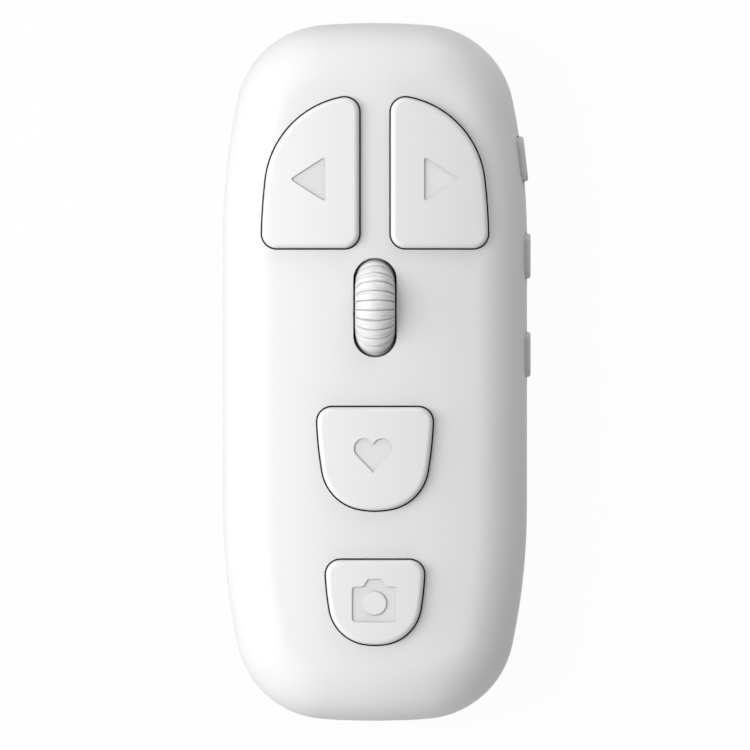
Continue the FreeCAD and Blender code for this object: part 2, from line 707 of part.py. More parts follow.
def on_wall(item, key_y):
    """Moves a piece from the wall's frame to its place along the right side."""
    past = f"({key_y} > case_length / 2 - end_run)"
    rise = f"(({key_y} - case_length / 2 + end_run) / flank_radius)"
    item.Placement = FreeCAD.Placement(FreeCAD.Vector(), FreeCAD.Rotation(FreeCAD.Vector(0, 0, 1), 1))
    bind(item, Placement_Rotation_Angle=f"{past} ? asin({rise}) : 0 deg",
         Placement_Base_x=f"case_width / 2 - ({past} ? flank_radius * (1 - cos(asin({rise}))) : 0)",
         Placement_Base_y=key_y)
    return item


def side_bar(name, low, high, grow):
    """A lying bar with round ends, long along the wall, between two depths."""
    run = "(side_length - side_height) / 2"
    half = f"side_height / 2 + {grow}"
    middle = box(name + "_middle", (low, high), (f"-{run}", run), (f"side_z - ({half})", f"side_z + {half}"))
    ends = [rod(f"{name}_{word}", "x", half, low, high, (f"{sign}{run}", "side_z"))
            for word, sign in (("far", ""), ("near", "-"))]
    return fuse(name, middle, *ends)


FLANGE_HALF = "(side_length / 2 + side_flange_reach)"
SIDE_BACK = "(-case_wall - rest_gap - side_flange)"


def side_openings(name, key_y):
    """Slot through the wall and the flat facing that the flange rests on."""
    slot = side_bar(name + "_slot", "-2 * case_wall", "case_wall", "side_gap")
    facing = box(name + "_facing", ("-3 * case_wall", "-case_wall"),
                 (f"-{FLANGE_HALF} - side_gap", f"{FLANGE_HALF} + side_gap"),
                 (BOARD_TOP, "side_z + side_height / 2 + side_gap"))
    return on_wall(fuse(name, slot, facing), key_y)


def side_cap(name, key_y):
    """A side key: the bar that shows and the flange that holds it in."""
    bar = side_bar(name + "_bar", SIDE_BACK, "side_proud", "0")
    body = doc.addObject("PartDesign::Body", name + "_form")
    doc.recompute()
    body.BaseFeature = bar
    outer = size("side_proud")
    round_edges(body, name + "_edge", lambda edge, faces: edge.BoundBox.XMin > outer - TINY, "side_edge")
    flange = box(name + "_flange", (SIDE_BACK, "-case_wall - rest_gap"), (f"-{FLANGE_HALF}", FLANGE_HALF),
                 ("side_z - side_height / 2", "side_z + side_height / 2"))
    return on_wall(fuse(name + "_key_cap", body, flange), key_y)


def side_switch(name, key_y):
    """Side-press switch: moulded body, metal cover and the plunger that points at the wall."""
    face = "(-case_wall - side_body_out)"
    tip = f"({SIDE_BACK} - side_tip_gap)"
    body_top = f"{BOARD_TOP} + side_body_high"
    middle = f"({BOARD_TOP} + side_body_high / 2)"
    body = box(name + "_block", (f"{face} - side_body_deep", face),
               ("-side_body_long / 2", "side_body_long / 2"), (BOARD_TOP, body_top))
    well = box(name + "_well", (f"{face} - side_plunger_in - side_room", f"{face} + 1"),
               ("-side_plunger_long / 2 - side_plunger_play", "side_plunger_long / 2 + side_plunger_play"),
               (f"{middle} - side_plunger_high / 2 - side_plunger_play",
                f"{middle} + side_plunger_high / 2 + side_plunger_play"))
    base = on_wall(cut(name + "_switch_base", body, well), key_y)
    plate = box(name + "_plate", (f"{face} - side_body_deep", face),
                ("-side_body_long / 2", "side_body_long / 2"), (body_top, f"{body_top} + side_cover"))
    ears = [box(f"{name}_ear_{word}",
                (f"{face} - (side_body_deep + side_ear) / 2", f"{face} - (side_body_deep - side_ear) / 2"),
                (low, high), (BOARD_TOP, f"{body_top} + side_cover"))
            for word, low, high in (("far", "side_body_long / 2", "side_body_long / 2 + side_cover"),
                                    ("near", "-side_body_long / 2 - side_cover", "-side_body_long / 2"))]
    cover = on_wall(fuse(name + "_switch_cover", plate, *ears), key_y)
    bar = box(name + "_bar_out", (f"{face} - side_plunger_in", tip),
              ("-side_plunger_long / 4", "side_plunger_long / 4"),
              (f"{middle} - side_plunger_high / 2", f"{middle} + side_plunger_high / 2"))
    heel = box(name + "_heel", (f"{face} - side_plunger_in", face),
               ("-side_plunger_long / 2", "side_plunger_long / 2"),
               (f"{middle} - side_plunger_high / 2", f"{middle} + side_plunger_high / 2"))
    return [base, cover, on_wall(fuse(name + "_switch_plunger", bar, heel), key_y)]


# Top switches

def top_switch(name, x, y):
    """Square tactile switch: moulded base, metal cover and round plunger with a collar."""
    half = "switch_side / 2"
    base_top = f"{BOARD_TOP} + switch_base"
    plunger_top = f"{BOARD_TOP} + switch_rise"
    foot_low = f"{base_top} - plunger_foot_thick"
    across, along = (f"{x} - {half}", f"{x} + {half}"), (f"{y} - {half}", f"{y} + {half}")
    blank = box(name + "_blank", across, along, (BOARD_TOP, base_top))
    well = rod(name + "_well", "z", "plunger_foot + plunger_play", f"{foot_low} - switch_travel_room",
               f"{base_top} + 1", (x, y))
    base = cut(name + "_switch_base", blank, well)
    sheet_top = f"{base_top} + switch_plate"
    plate = box(name + "_plate", across, along, (base_top, sheet_top))
    ears = [box(f"{name}_ear_{word}", (low, high), (f"{y} - {half} / 2", f"{y} + {half} / 2"),
                (BOARD_TOP, sheet_top))
            for word, low, high in (("right", f"{x} + {half}", f"{x} + {half} + switch_plate"),
                                    ("left", f"{x} - {half} - switch_plate", f"{x} - {half}"))]
    eye = rod(name + "_eye", "z", "plunger_radius + plunger_play", f"{base_top} - 1", f"{sheet_top} + 1",
              (x, y))
    cover = cut(name + "_switch_cover", fuse(name + "_sheet", plate, *ears), eye)
    shaft = rod(name + "_shaft", "z", "plunger_radius", foot_low, plunger_top, (x, y))
    foot = rod(name + "_foot", "z", "plunger_foot", foot_low, base_top, (x, y))
    return [base, cover, fuse(name + "_switch_plunger", shaft, foot)]


# Big keys

def key_cap(name, tops, roofs, cores):
    """A big key: crowned cap with a hollow underside, cross ribs, stem and flange."""
    outline, corner, x, y = KEYS[name]
    blank = common(name + "_blank", prism(name + "_plan_form", outline, "0", FLANGE_LOW, SKY, corner), tops)
    body = doc.addObject("PartDesign::Body", name + "_form")
    doc.recompute()
    body.BaseFeature = blank
    round_edges(body, name + "_rim", upper_rim, "key_edge")
    flange = prism(name + "_flange", outline, "flange_reach", FLANGE_LOW, FLANGE_TOP, corner)
    hollow = common(name + "_hollow", roofs,
                    prism(name + "_hollow_plan", outline, "-key_wall", f"{FLANGE_LOW} - 1", SKY))
    inside = common(name + "_inside", cores, prism(name + "_inside_plan", outline, "-key_wall / 2",
                                                   STEM_LOW, SKY))
    stem = rod(name + "_stem", "z", "stem_radius", STEM_LOW, SKY, (x, y))
    ribs = [box(name + "_rib_across", ("-case_width / 2", "case_width / 2"),
                (f"{y} - key_rib / 2", f"{y} + key_rib / 2"), ("key_rib_low", SKY)),
            box(name + "_rib_along", (f"{x} - key_rib / 2", f"{x} + key_rib / 2"),
                ("-case_length / 2", "case_length / 2"), ("key_rib_low", SKY))]
    core = common(name + "_core", fuse(name + "_cross", stem, *ribs), inside)
    shell = cut(name + "_shell", fuse(name + "_solid", body, flange), hollow)
    return cut(name + "_key_cap", fuse(name + "_whole", shell, core), wheel_space(name + "_wheel_space"))


# Case halves

def front_shell(outer, inner, port):
    """Crowned half: skin, key openings with guide walls, pillars, wheel slot and side slots."""
    skin = cut("front_skin", outer, inner)
    walls = [prism(name + "_guide", outline, "key_gap + well_wall", "well_low", SKY, corner)
             for name, (outline, corner, x, y) in KEYS.items()]
    pillars = [rod("front_pillar", "z", "pillar_radius", BOARD_TOP, SKY, place) for place in SCREWS]
    hold_down = box("bush_rib", ("wheel_switch_x - bush_rib / 2", "wheel_switch_x + bush_rib / 2"),
                    ("wheel_y - bush_half", "wheel_y + bush_half"), ("bush_top + rest_gap", SKY))
    inside = common("front_inside", fuse("front_pieces", *walls, *pillars, hold_down), outer)
    openings = [prism(name + "_opening", outline, "key_gap", "well_low - 1", SKY, corner)
                for name, (outline, corner, x, y) in KEYS.items()]
    pilots = [rod("front_pilot", "z", "screw_shank + screw_play", f"{BOARD_TOP} - 1",
                  f"{BOARD_TOP} + screw_bite + pilot_end", place) for place in SCREWS]
    slot = stadium("wheel_slot", "slot_length", "slot_width", "wheel_z", SKY, "0", "wheel_y")
    rebate = ring("tongue_rebate", "-case_wall + tongue_thick + tongue_gap", "-2 * case_wall",
                  "seam_height - 1", "seam_height + tongue_height + tongue_gap")
    reveal = ring("seam_reveal", "1", "-reveal_depth", "seam_height - 1", "seam_height + reveal_height")
    sides = [side_openings(name + "_opening", key_y) for name, key_y in SIDE_KEYS.items()]
    return cut("front_shell", fuse("front_blank", skin, inside), *openings, *pilots, slot,
               wheel_space("front_wheel_space"), rebate, reveal, *sides, port)


def back_shell(port):
    """Flat-backed half: tray with tongue, screw bosses, board posts and battery fence."""
    skin = cut("back_skin", tray("back_outer", "0", "0", "seam_height"),
               tray("back_inner", "-case_wall", "case_wall", "seam_height + 1"))
    tongue = ring("back_tongue", "-case_wall + tongue_thick", "-case_wall", "seam_height - tongue_thick",
                  "seam_height + tongue_height")
    bosses = [rod("back_boss", "z", "boss_radius", "case_wall / 2", "board_low", place) for place in SCREWS]
    posts = [rod("board_post", "z", "post_radius", "case_wall / 2", "board_low", (x, "post_y"))
             for x in ("post_x", "-post_x")]
    cell_half = "(cell_width / 2 + fence_gap)"
    fence = []
    fence_low, fence_high = "case_wall / 2", "case_wall + fence_height"
    for word, sign in (("right", ""), ("left", "-")):
        near, far = f"{sign}{cell_half}", f"{sign}({cell_half} + fence_thick)"
        low, high = (near, far) if sign == "" else (far, near)
        for end, start in (("top", "cell_head - fence_run"), ("foot", CELL_FOOT)):
            fence.append(box(f"fence_{word}_{end}", (low, high), (start, f"{start} + fence_run"),
                             (fence_low, fence_high)))
        low, high = (f"{cell_half} - fence_run", far) if sign == "" else (far, f"fence_run - {cell_half}")
        for end, start in (("top", "cell_head + fence_gap"),
                           ("foot", f"{CELL_FOOT} - fence_gap - fence_thick")):
            fence.append(box(f"fence_{word}_{end}_end", (low, high), (start, f"{start} + fence_thick"),
                             (fence_low, fence_high)))
    holes = [rod("back_hole", "z", "screw_shank + screw_clear", "-1", "board_low + 1", place)
             for place in SCREWS]
    recesses = [rod("back_recess", "z", "screw_head + head_clear", "-1", "screw_recess", place)
                for place in SCREWS]
    blank = fuse("back_blank", skin, tongue, *bosses, *posts, *fence)
    return cut("back_shell", blank, *holes, *recesses, port)


# Socket: sunk into a notch in the board, so that its middle lies in the middle of the board

SOCKET_MOUTH = "(-case_length / 2 + socket_inset)"
SOCKET_BACK = f"({SOCKET_MOUTH} + socket_depth)"
SOCKET_Z = "(board_low + board_thick / 2)"


def lozenge(name, grow, low, high):
    """A lying bar with round sides, wide along X, at the socket's height."""
    half = f"(socket_height / 2 + ({grow}))"
    run = "(socket_width - socket_height) / 2"
    middle = box(name + "_middle", (f"-{run}", run), (low, high),
                 (f"{SOCKET_Z} - {half}", f"{SOCKET_Z} + {half}"))
    sides = [rod(f"{name}_{word}", "y", half, low, high, (f"{sign}{run}", SOCKET_Z))
             for word, sign in (("right", ""), ("left", "-"))]
    return fuse(name, middle, *sides)


def socket():
    """Receptacle shell with its solder tabs, and the tongue with its block."""
    tube = lozenge("socket_tube", "0", SOCKET_MOUTH, SOCKET_BACK)
    bore = lozenge("socket_bore", "-socket_skin", f"{SOCKET_MOUTH} - 1", f"{SOCKET_BACK} - socket_back")
    near, far = "socket_width / 2 - socket_skin", "socket_width / 2 + socket_tab_out"
    tabs = []
    for across in ((near, far), (f"-({far})", f"-({near})")):
        for back in ("socket_tab_back", "(socket_tab_back + socket_tab_pitch)"):
            middle = f"{SOCKET_BACK} - {back}"
            along = (f"{middle} - socket_tab_long / 2", f"{middle} + socket_tab_long / 2")
            tabs.append(box("socket_tab", across, along, (BOARD_TOP, f"{BOARD_TOP} + socket_tab_thick")))
    shell = fuse("usb_receptacle", cut("socket_can", tube, bore), *tabs)
    root_end = f"{SOCKET_BACK} - socket_back"
    root_start = f"({root_end} - tongue_block)"
    root = lozenge("socket_root", "-socket_skin - block_gap", root_start, root_end)
    blade = box("socket_blade", ("-tongue_wide / 2", "tongue_wide / 2"),
                (f"{root_start} - tongue_out", root_end),
                (f"{SOCKET_Z} - tongue_slim / 2", f"{SOCKET_Z} + tongue_slim / 2"))
    return [shell, fuse("usb_tongue", root, blade)]


# Wheel

def at_wheel(item):
    return put(item, "0", "wheel_y", "wheel_z")


def wheel_tyre():
    """Tyre with a rounded tread; grooves follow the round and leave the ribs."""
    body = doc.addObject("PartDesign::Body", "wheel_tyre")
    section = new_sketch(body, "tyre_section", "XZ_Plane")
    half, tread, crest = size("wheel_width") / 2, size("tread_round"), size("wheel_radius")
    seat, middle = size("hub_radius"), crest - tread
    lean = math.degrees(math.asin(half / tread))
    edge = middle + math.sqrt(tread ** 2 - half ** 2)
    arc = add_arc(section, (0, middle), tread, 90 - lean, 90 + lean)
    left = add_line(section, (-half, edge), (-half, seat))
    bore = add_line(section, (-half, seat), (half, seat))
    right = add_line(section, (half, seat), (half, edge))
    join_chain(section, [arc, left, bore, right])
    hold(section, "Vertical", left)
    hold(section, "Vertical", right)
    hold(section, "Horizontal", bore)
    hold(section, "Radius", arc, tread, rule="tread_round")
    hold_point(section, arc, 3, x="0", y="wheel_radius - tread_round")
    hold_point(section, bore, 1, x="-wheel_width / 2", y="hub_radius")
    hold_point(section, bore, 2, x="wheel_width / 2")
    turn = body.newObject("PartDesign::Revolution", "tyre_ring")
    turn.Profile = section
    turn.ReferenceAxis = (section, ["H_Axis"])
    turn.Angle = 360
    doc.recompute()

    notch = new_sketch(body, "rib_gap_section", "YZ_Plane")
    crest_rule = "wheel_radius + rib_gap_clear"
    polygon(notch, [("rib_gap_width / 2", crest_rule), ("-rib_gap_width / 2", crest_rule),
                    ("0", "wheel_radius - rib_gap_depth")])
    axis = add_line(notch, (-half, middle), (half, middle), True)
    hold(notch, "Horizontal", axis)
    hold_point(notch, axis, 1, x="-wheel_width / 2", y="wheel_radius - tread_round")
    hold_point(notch, axis, 2, x="wheel_width / 2")
    groove = body.newObject("PartDesign::Groove", "rib_gap")
    groove.Profile = notch
    groove.ReferenceAxis = (notch, ["Axis0"])
    groove.Midplane = True
    bind(groove, Angle="rib_gap_sweep")
    pattern = body.newObject("PartDesign::PolarPattern", "rib_gaps")
    pattern.Originals = [groove]
    x_axis = [feature for feature in body.Origin.OriginFeatures if feature.Role == "X_Axis"][0]
    pattern.Axis = (x_axis, [""])
    pattern.Angle = 360
    bind(pattern, Occurrences="rib_count")
    body.Tip = pattern
    return at_wheel(body)


def wheel_hub():
    """Hub turned in one piece with the round axle, with holes in its web and a six-sided axle."""
    body = doc.addObject("PartDesign::Body", "hub_form")
    section = new_sketch(body, "hub_section", "XZ_Plane")
    rim_in = "hub_radius - hub_rim"
    polygon(section, [
        (AXLE_END, "0"), ("wheel_width / 2", "0"), ("wheel_width / 2", "hub_boss"),
        ("hub_web / 2", "hub_boss"), ("hub_web / 2", rim_in), ("hub_width / 2", rim_in),
        ("hub_width / 2", "hub_radius"), ("-hub_width / 2", "hub_radius"), ("-hub_width / 2", rim_in),
        ("-hub_web / 2", rim_in), ("-hub_web / 2", "hub_boss"), ("-wheel_width / 2", "hub_boss"),
        ("-wheel_width / 2", "axle_radius"), (AXLE_END, "axle_radius"),
    ])
    turn = body.newObject("PartDesign::Revolution", "hub_turned")
    turn.Profile = section
    turn.ReferenceAxis = (section, ["H_Axis"])
    turn.Angle = 360
    doc.recompute()
    eye = new_sketch(body, "hub_hole_plan", "YZ_Plane")
    middle = (size("hub_boss") + size("hub_radius") - size("hub_rim")) / 2
    ring_spot, upward = FreeCAD.Vector(0, middle, 0), FreeCAD.Vector(0, 0, 1)
    circle = eye.addGeometry(Part.Circle(ring_spot, upward, size("hub_hole")), False)
    hold(eye, "Radius", circle, size("hub_hole"), rule="hub_hole")
    hold_point(eye, circle, 3, x="0", y="(hub_boss + hub_radius - hub_rim) / 2")
    hole = body.newObject("PartDesign::Pocket", "hub_hole_cut")
    hole.Profile = eye
    hole.SideType = "Symmetric"
    bind(hole, Length="wheel_width")
    pattern = body.newObject("PartDesign::PolarPattern", "hub_hole_ring")
    pattern.Originals = [hole]
    x_axis = [feature for feature in body.Origin.OriginFeatures if feature.Role == "X_Axis"][0]
    pattern.Axis = (x_axis, [""])
    pattern.Angle = 360
    bind(pattern, Occurrences="hub_holes")
    body.Tip = pattern
    hex_axle = hex_rod("hex_axle", "hex_flats", "wheel_width / 2 - hex_root", "axle_right",
                       ("wheel_y", "wheel_z"))
    return fuse("wheel_hub", at_wheel(body), hex_axle)


def axle_parts():
    """Bush that sits on the wheel's switch, and the slotted guide past it."""
    spot = ("wheel_y", "wheel_z")
    blank = box("bush_blank", ("bush_left", "bush_right"), ("wheel_y - bush_half", "wheel_y + bush_half"),
                (STEM_LOW, "bush_top"))
    bore = rod("bush_bore", "x", "axle_radius + bush_play", "bush_left - 1", "bush_right + 1", spot)
    bush = cut("axle_bush", blank, bore)
    plate = box("guide_plate", (GUIDE_LEFT, GUIDE_RIGHT), ("wheel_y - guide_half", "wheel_y + guide_half"),
                (BOARD_TOP, "guide_top"))
    foot = box("guide_foot_block", (f"{GUIDE_LEFT} - guide_foot", GUIDE_RIGHT),
               ("wheel_y - guide_half", "wheel_y + guide_half"), (BOARD_TOP, f"{BOARD_TOP} + guide_foot"))
    notch = box("guide_notch", (f"{GUIDE_LEFT} - 1", f"{GUIDE_RIGHT} + 1"),
                ("wheel_y - axle_radius - guide_play", "wheel_y + axle_radius + guide_play"),
                ("wheel_z - axle_radius - guide_drop", "guide_top + 1"))
    return [bush, cut("axle_guide", fuse("guide_blank", plate, foot), notch)]


def encoder():
    """Rotary encoder on the board: body, cover plate, rotor with a six-sided hole, pins."""
    spot = ("wheel_y", "wheel_z")
    low_part = box("encoder_low", ("encoder_left", "encoder_right"),
                   ("wheel_y - encoder_half", "wheel_y + encoder_half"), (BOARD_TOP, "encoder_shoulder"))
    neck = box("encoder_neck_block", ("encoder_left", "encoder_right"),
               ("wheel_y - encoder_neck", "wheel_y + encoder_neck"), ("encoder_shoulder", "wheel_z"))
    head = rod("encoder_head", "x", "encoder_neck", "encoder_left", "encoder_right", spot)
    bore = rod("encoder_bore", "x", "rotor_radius + rotor_play", "encoder_left - 1", "encoder_right + 1",
               spot)
    body = cut("encoder_body", fuse("encoder_blank", low_part, neck, head), bore)
    plate = box("encoder_plate_low", ("encoder_right", "encoder_right + encoder_plate"),
                ("wheel_y - encoder_half", "wheel_y + encoder_half"), (BOARD_TOP, "encoder_shoulder"))
    plate_neck = box("encoder_plate_neck", ("encoder_right", "encoder_right + encoder_plate"),
                     ("wheel_y - encoder_neck", "wheel_y + encoder_neck"), ("encoder_shoulder", "wheel_z"))
    plate_head = rod("encoder_plate_head", "x", "encoder_neck", "encoder_right",
                     "encoder_right + encoder_plate", spot)
    near, far = "encoder_half", "(encoder_half + encoder_plate)"
    clips = [box("encoder_clip", ("encoder_left", "encoder_right + encoder_plate"), along,
                 ("encoder_shoulder - encoder_half", "encoder_shoulder"))
             for along in ((f"wheel_y + {near}", f"wheel_y + {far}"),
                           (f"wheel_y - {far}", f"wheel_y - {near}"))]
    eye = rod("encoder_eye", "x", "rotor_radius - rotor_flange", "encoder_right - 1", "encoder_right + 1",
              spot)
    cover = cut("encoder_cover", fuse("encoder_sheet", plate, plate_neck, plate_head, *clips), eye)
    wheel = rod("rotor_blank", "x", "rotor_radius", "encoder_left + rotor_flange",
                "encoder_right - rotor_flange", spot)
    rotor = cut("encoder_rotor", wheel, hex_rod("rotor_hole", "hex_flats + hex_play", "encoder_left - 1",
                                                "encoder_right + 1", spot))
    middle = "(encoder_left + encoder_right) / 2"
    pins = [rod("encoder_pin", "z", "pin_radius", "board_low - pin_out", BOARD_TOP,
                (middle, f"wheel_y + {number} * pin_pitch")) for number in (-1, 0, 1)]
    return [body, cover, rotor, group("encoder_pins", *pins)]


def circuit_board():
    """Board in the case's outline, cut out for the wheel, the socket, the screws and the encoder's pins."""
    plate = prism("board_plate", case_outline, "-case_wall - board_gap", "board_low", BOARD_TOP)
    low, high = "board_low - 1", f"{BOARD_TOP} + 1"
    holes = [rod("board_hole", "z", "screw_shank + screw_clear", low, high, place) for place in SCREWS]
    middle = "(encoder_left + encoder_right) / 2"
    pins = [rod("pin_hole", "z", "pin_radius + pin_play", low, high,
                (middle, f"wheel_y + {number} * pin_pitch")) for number in (-1, 0, 1)]
    room = "(wheel_width / 2 + wheel_room)"
    drop = "(wheel_z - board_low - board_thick)"
    chord = f"(sqrt(wheel_radius ^ 2 - {drop} ^ 2) + 2 * wheel_room)"
    window = box("board_window", (f"-{room}", room), (f"wheel_y - {chord}", f"wheel_y + {chord}"),
                 (low, high))
    beside = "(socket_width / 2 + socket_notch)"
    notch = box("board_notch", (f"-{beside}", beside), ("-case_length / 2", f"{SOCKET_BACK} + socket_notch"),
                (low, high))
    return cut("circuit_board", plate, *holes, *pins, window, notch)


# Battery and its leads

LEAD_SETBACK = 0.45  # part of the shorter run beside a corner that its bend takes up

# Where each lead leaves the cell (X), how far it runs straight on, and its pad under the board (X, Y)
LEADS = {"red": (-4.0, 3.1, -11.9, 1.2), "black": (-2.2, 3.5, -11.9, 3.7)}


def lead(name, start_x, run, pad_x, pad_y):
    """A round wire along straight runs joined by tangent arcs, each as large as its runs allow."""
    radius, head = size("lead_radius"), size("cell_head")
    level = size("case_wall") + size("foam_thick") + (size("cell_tab_low") + size("cell_tab_high")) / 2
    corners = [FreeCAD.Vector(start_x, head, level), FreeCAD.Vector(start_x, head + run, level),
               FreeCAD.Vector(pad_x, pad_y, level), FreeCAD.Vector(pad_x, pad_y, size("board_low"))]
    edges = []
    start = corners[0]
    for before, corner, after in zip(corners, corners[1:], corners[2:]):
        back = before - corner
        ahead = after - corner
        shorter = min(back.Length, ahead.Length)
        back.normalize()
        ahead.normalize()
        turn = math.pi - back.getAngle(ahead)
        setback = LEAD_SETBACK * shorter
        bend = setback / math.tan(turn / 2)
        middle = (back + ahead).normalize()
        centre = corner + middle * (bend / math.cos(turn / 2))
        first, last = corner + back * setback, corner + ahead * setback
        edges.append(Part.LineSegment(start, first).toShape())
        edges.append(Part.Arc(first, centre - middle * bend, last).toShape())
        start = last
        print(f"{name}: turn {math.degrees(turn):.0f} degrees, radius {bend:.2f} mm")
    edges.append(Part.LineSegment(start, corners[-1]).toShape())
    path = Part.Wire(edges)
    section = Part.Wire(Part.Circle(corners[0], corners[1] - corners[0], radius).toShape())
    tube = path.makePipeShell([section], True, False)
    print(f"{name}: volume {tube.Volume:.3f}, section times length {math.pi * radius ** 2 * path.Length:.3f}")
    item = doc.addObject("Part::Feature", name)
    item.Shape = tube
    return item


def battery():
    """Pouch cell with its folded end, the foam pad under it and its two leads."""
    half = "cell_width / 2"
    body = block("cell_form", (f"-{half}", half), (CELL_FOOT, "cell_head - cell_tab"),
                 (CELL_LOW, f"{CELL_LOW} + cell_thick"))
    round_edges(body, "cell_edges", lambda edge, faces: edge.BoundBox.YLength > 1, "cell_round")
    fold = box("cell_fold", (f"-{half} + cell_tab_inset", f"{half} - cell_tab_inset"),
               ("cell_head - cell_tab", "cell_head"),
               (f"{CELL_LOW} + cell_tab_low", f"{CELL_LOW} + cell_tab_high"))
    cell = fuse("battery_pack", body, fold)
    foam = box("battery_foam", (f"-{half} + foam_inset", f"{half} - foam_inset"),
               (f"{CELL_FOOT} + foam_inset", "cell_head - cell_tab - foam_inset"), ("case_wall", CELL_LOW))
    leads = [lead("battery_lead_" + colour, *route) for colour, route in LEADS.items()]
    return [cell, foam] + leads


def screws():
    """Four pan-head screws with cross recesses, entered from the back."""
    head_low = "(screw_recess - screw_head_thick)"
    pieces = []
    for x, y in SCREWS:
        head = rod("screw_head_disc", "z", "screw_head", head_low, "screw_recess", (x, y))
        shank = rod("screw_shank_rod", "z", "screw_shank", "screw_recess", f"{BOARD_TOP} + screw_bite",
                    (x, y))
        drive = (f"{head_low} - 1", f"{head_low} + drive_depth")
        arms = [box("drive_across", (f"{x} - drive_radius", f"{x} + drive_radius"),
                    (f"{y} - drive_slot / 2", f"{y} + drive_slot / 2"), drive),
                box("drive_along", (f"{x} - drive_slot / 2", f"{x} + drive_slot / 2"),
                    (f"{y} - drive_radius", f"{y} + drive_radius"), drive)]
        pieces.append(cut("shell_screw", fuse("screw_blank", head, shank), *arms))
    return group("shell_screws", *pieces)


# Places of the scattered small parts: beside the socket, counted from the case's lower end, and mid board
SOCKET_SPOTS = [(12.0, 13.4), (12.0, 15.4), (8.5, 17.6), (-7.5, 12.8), (-7.5, 14.4), (-10.2, 12.8)]
BOARD_SPOTS = [(0.0, -18.6), (3.2, -18.6), (-3.2, -18.6), (9.0, -10.0), (9.0, -7.4), (-9.0, -10.0)]


def small_parts():
    """Radio module under its shield, charging chip and the scattered small parts."""
    low = BOARD_TOP
    module_top = f"({low} + radio_thick)"
    radio_y = "case_length / 2 - radio_end"
    module = box("bluetooth_module", ("-radio_width / 2", "radio_width / 2"),
                 (f"{radio_y} - radio_length / 2", f"{radio_y} + radio_length / 2"), (low, module_top))
    middle = f"({radio_y} + shield_shift)"
    can = box("shield_block", ("-shield_width / 2", "shield_width / 2"),
              (f"{middle} - shield_length / 2", f"{middle} + shield_length / 2"),
              (module_top, f"{module_top} + shield_height"))
    room = box("shield_room", ("-shield_width / 2 + shield_skin", "shield_width / 2 - shield_skin"),
               (f"{middle} - shield_length / 2 + shield_skin", f"{middle} + shield_length / 2 - shield_skin"),
               (f"{module_top} - 1", f"{module_top} + shield_height - shield_skin"))
    shield = cut("module_shield", can, room)
    charge_y = "(charge_end - case_length / 2)"
    charger = box("charge_chip", ("charge_x - chip_side / 2", "charge_x + chip_side / 2"),
                  (f"{charge_y} - chip_side / 2", f"{charge_y} + chip_side / 2"),
                  (low, f"{low} + chip_height"))
    spots = [(x, f"({end} - case_length / 2)") for x, end in SOCKET_SPOTS] + BOARD_SPOTS
    chips = [box("small_chip", (f"{x} - small_length / 2", f"{x} + small_length / 2"),
                 (f"{y} - small_width / 2", f"{y} + small_width / 2"), (low, f"{low} + small_height"))
             for x, y in spots]
    return [module, shield, charger, group("board_passives", *chips)]


# Build every piece

case_outer = pebble("case_outer", "0", "seam_height")
case_inner = pebble("case_inner", "(-case_wall)", "seam_height - 1")
key_tops = pebble("key_tops", "key_rise", "seam_height")
key_roofs = pebble("key_roofs", "(key_rise - key_roof)", "seam_height")
key_cores = pebble("key_cores", "(key_rise - key_roof / 2)", "seam_height")

port_opening = lozenge("port_opening", "socket_clear", "-case_length / 2 - 1",
                       "-case_length / 2 + 3 * case_wall")

pieces = [front_shell(case_outer, case_inner, port_opening), back_shell(port_opening), circuit_board()]
for key_name, (_, _, stem_x, stem_y) in KEYS.items():
    pieces.append(key_cap(key_name, key_tops, key_roofs, key_cores))
    pieces += top_switch(key_name, stem_x, stem_y)
pieces += top_switch("wheel", "wheel_switch_x", "wheel_y")
for key_name, place in SIDE_KEYS.items():
    pieces.append(side_cap(key_name, place))
    pieces += side_switch(key_name, place)
pieces += [wheel_tyre(), wheel_hub()]
pieces += axle_parts()
pieces += encoder()
pieces += battery()
pieces += socket()
pieces += small_parts()
pieces.append(screws())

doc.recompute()
broken = [item.Label for item in doc.Objects if {"Invalid", "Error"} & set(item.State)]
broken += [item.Label for item in pieces if item.Shape.isNull() or not item.Shape.isValid()]
if broken:
    raise SystemExit("these did not build: " + ", ".join(broken))

os.makedirs("parts", exist_ok=True)
for item in pieces:
    item.Shape.exportStep(f"parts/{item.Label}.step")
    print(f"{item.Label}: {len(item.Shape.Solids)} solids, {item.Shape.Volume:.2f} mm3")
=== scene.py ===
import json
import math

import bmesh
import bpy
from mathutils import Matrix, Vector

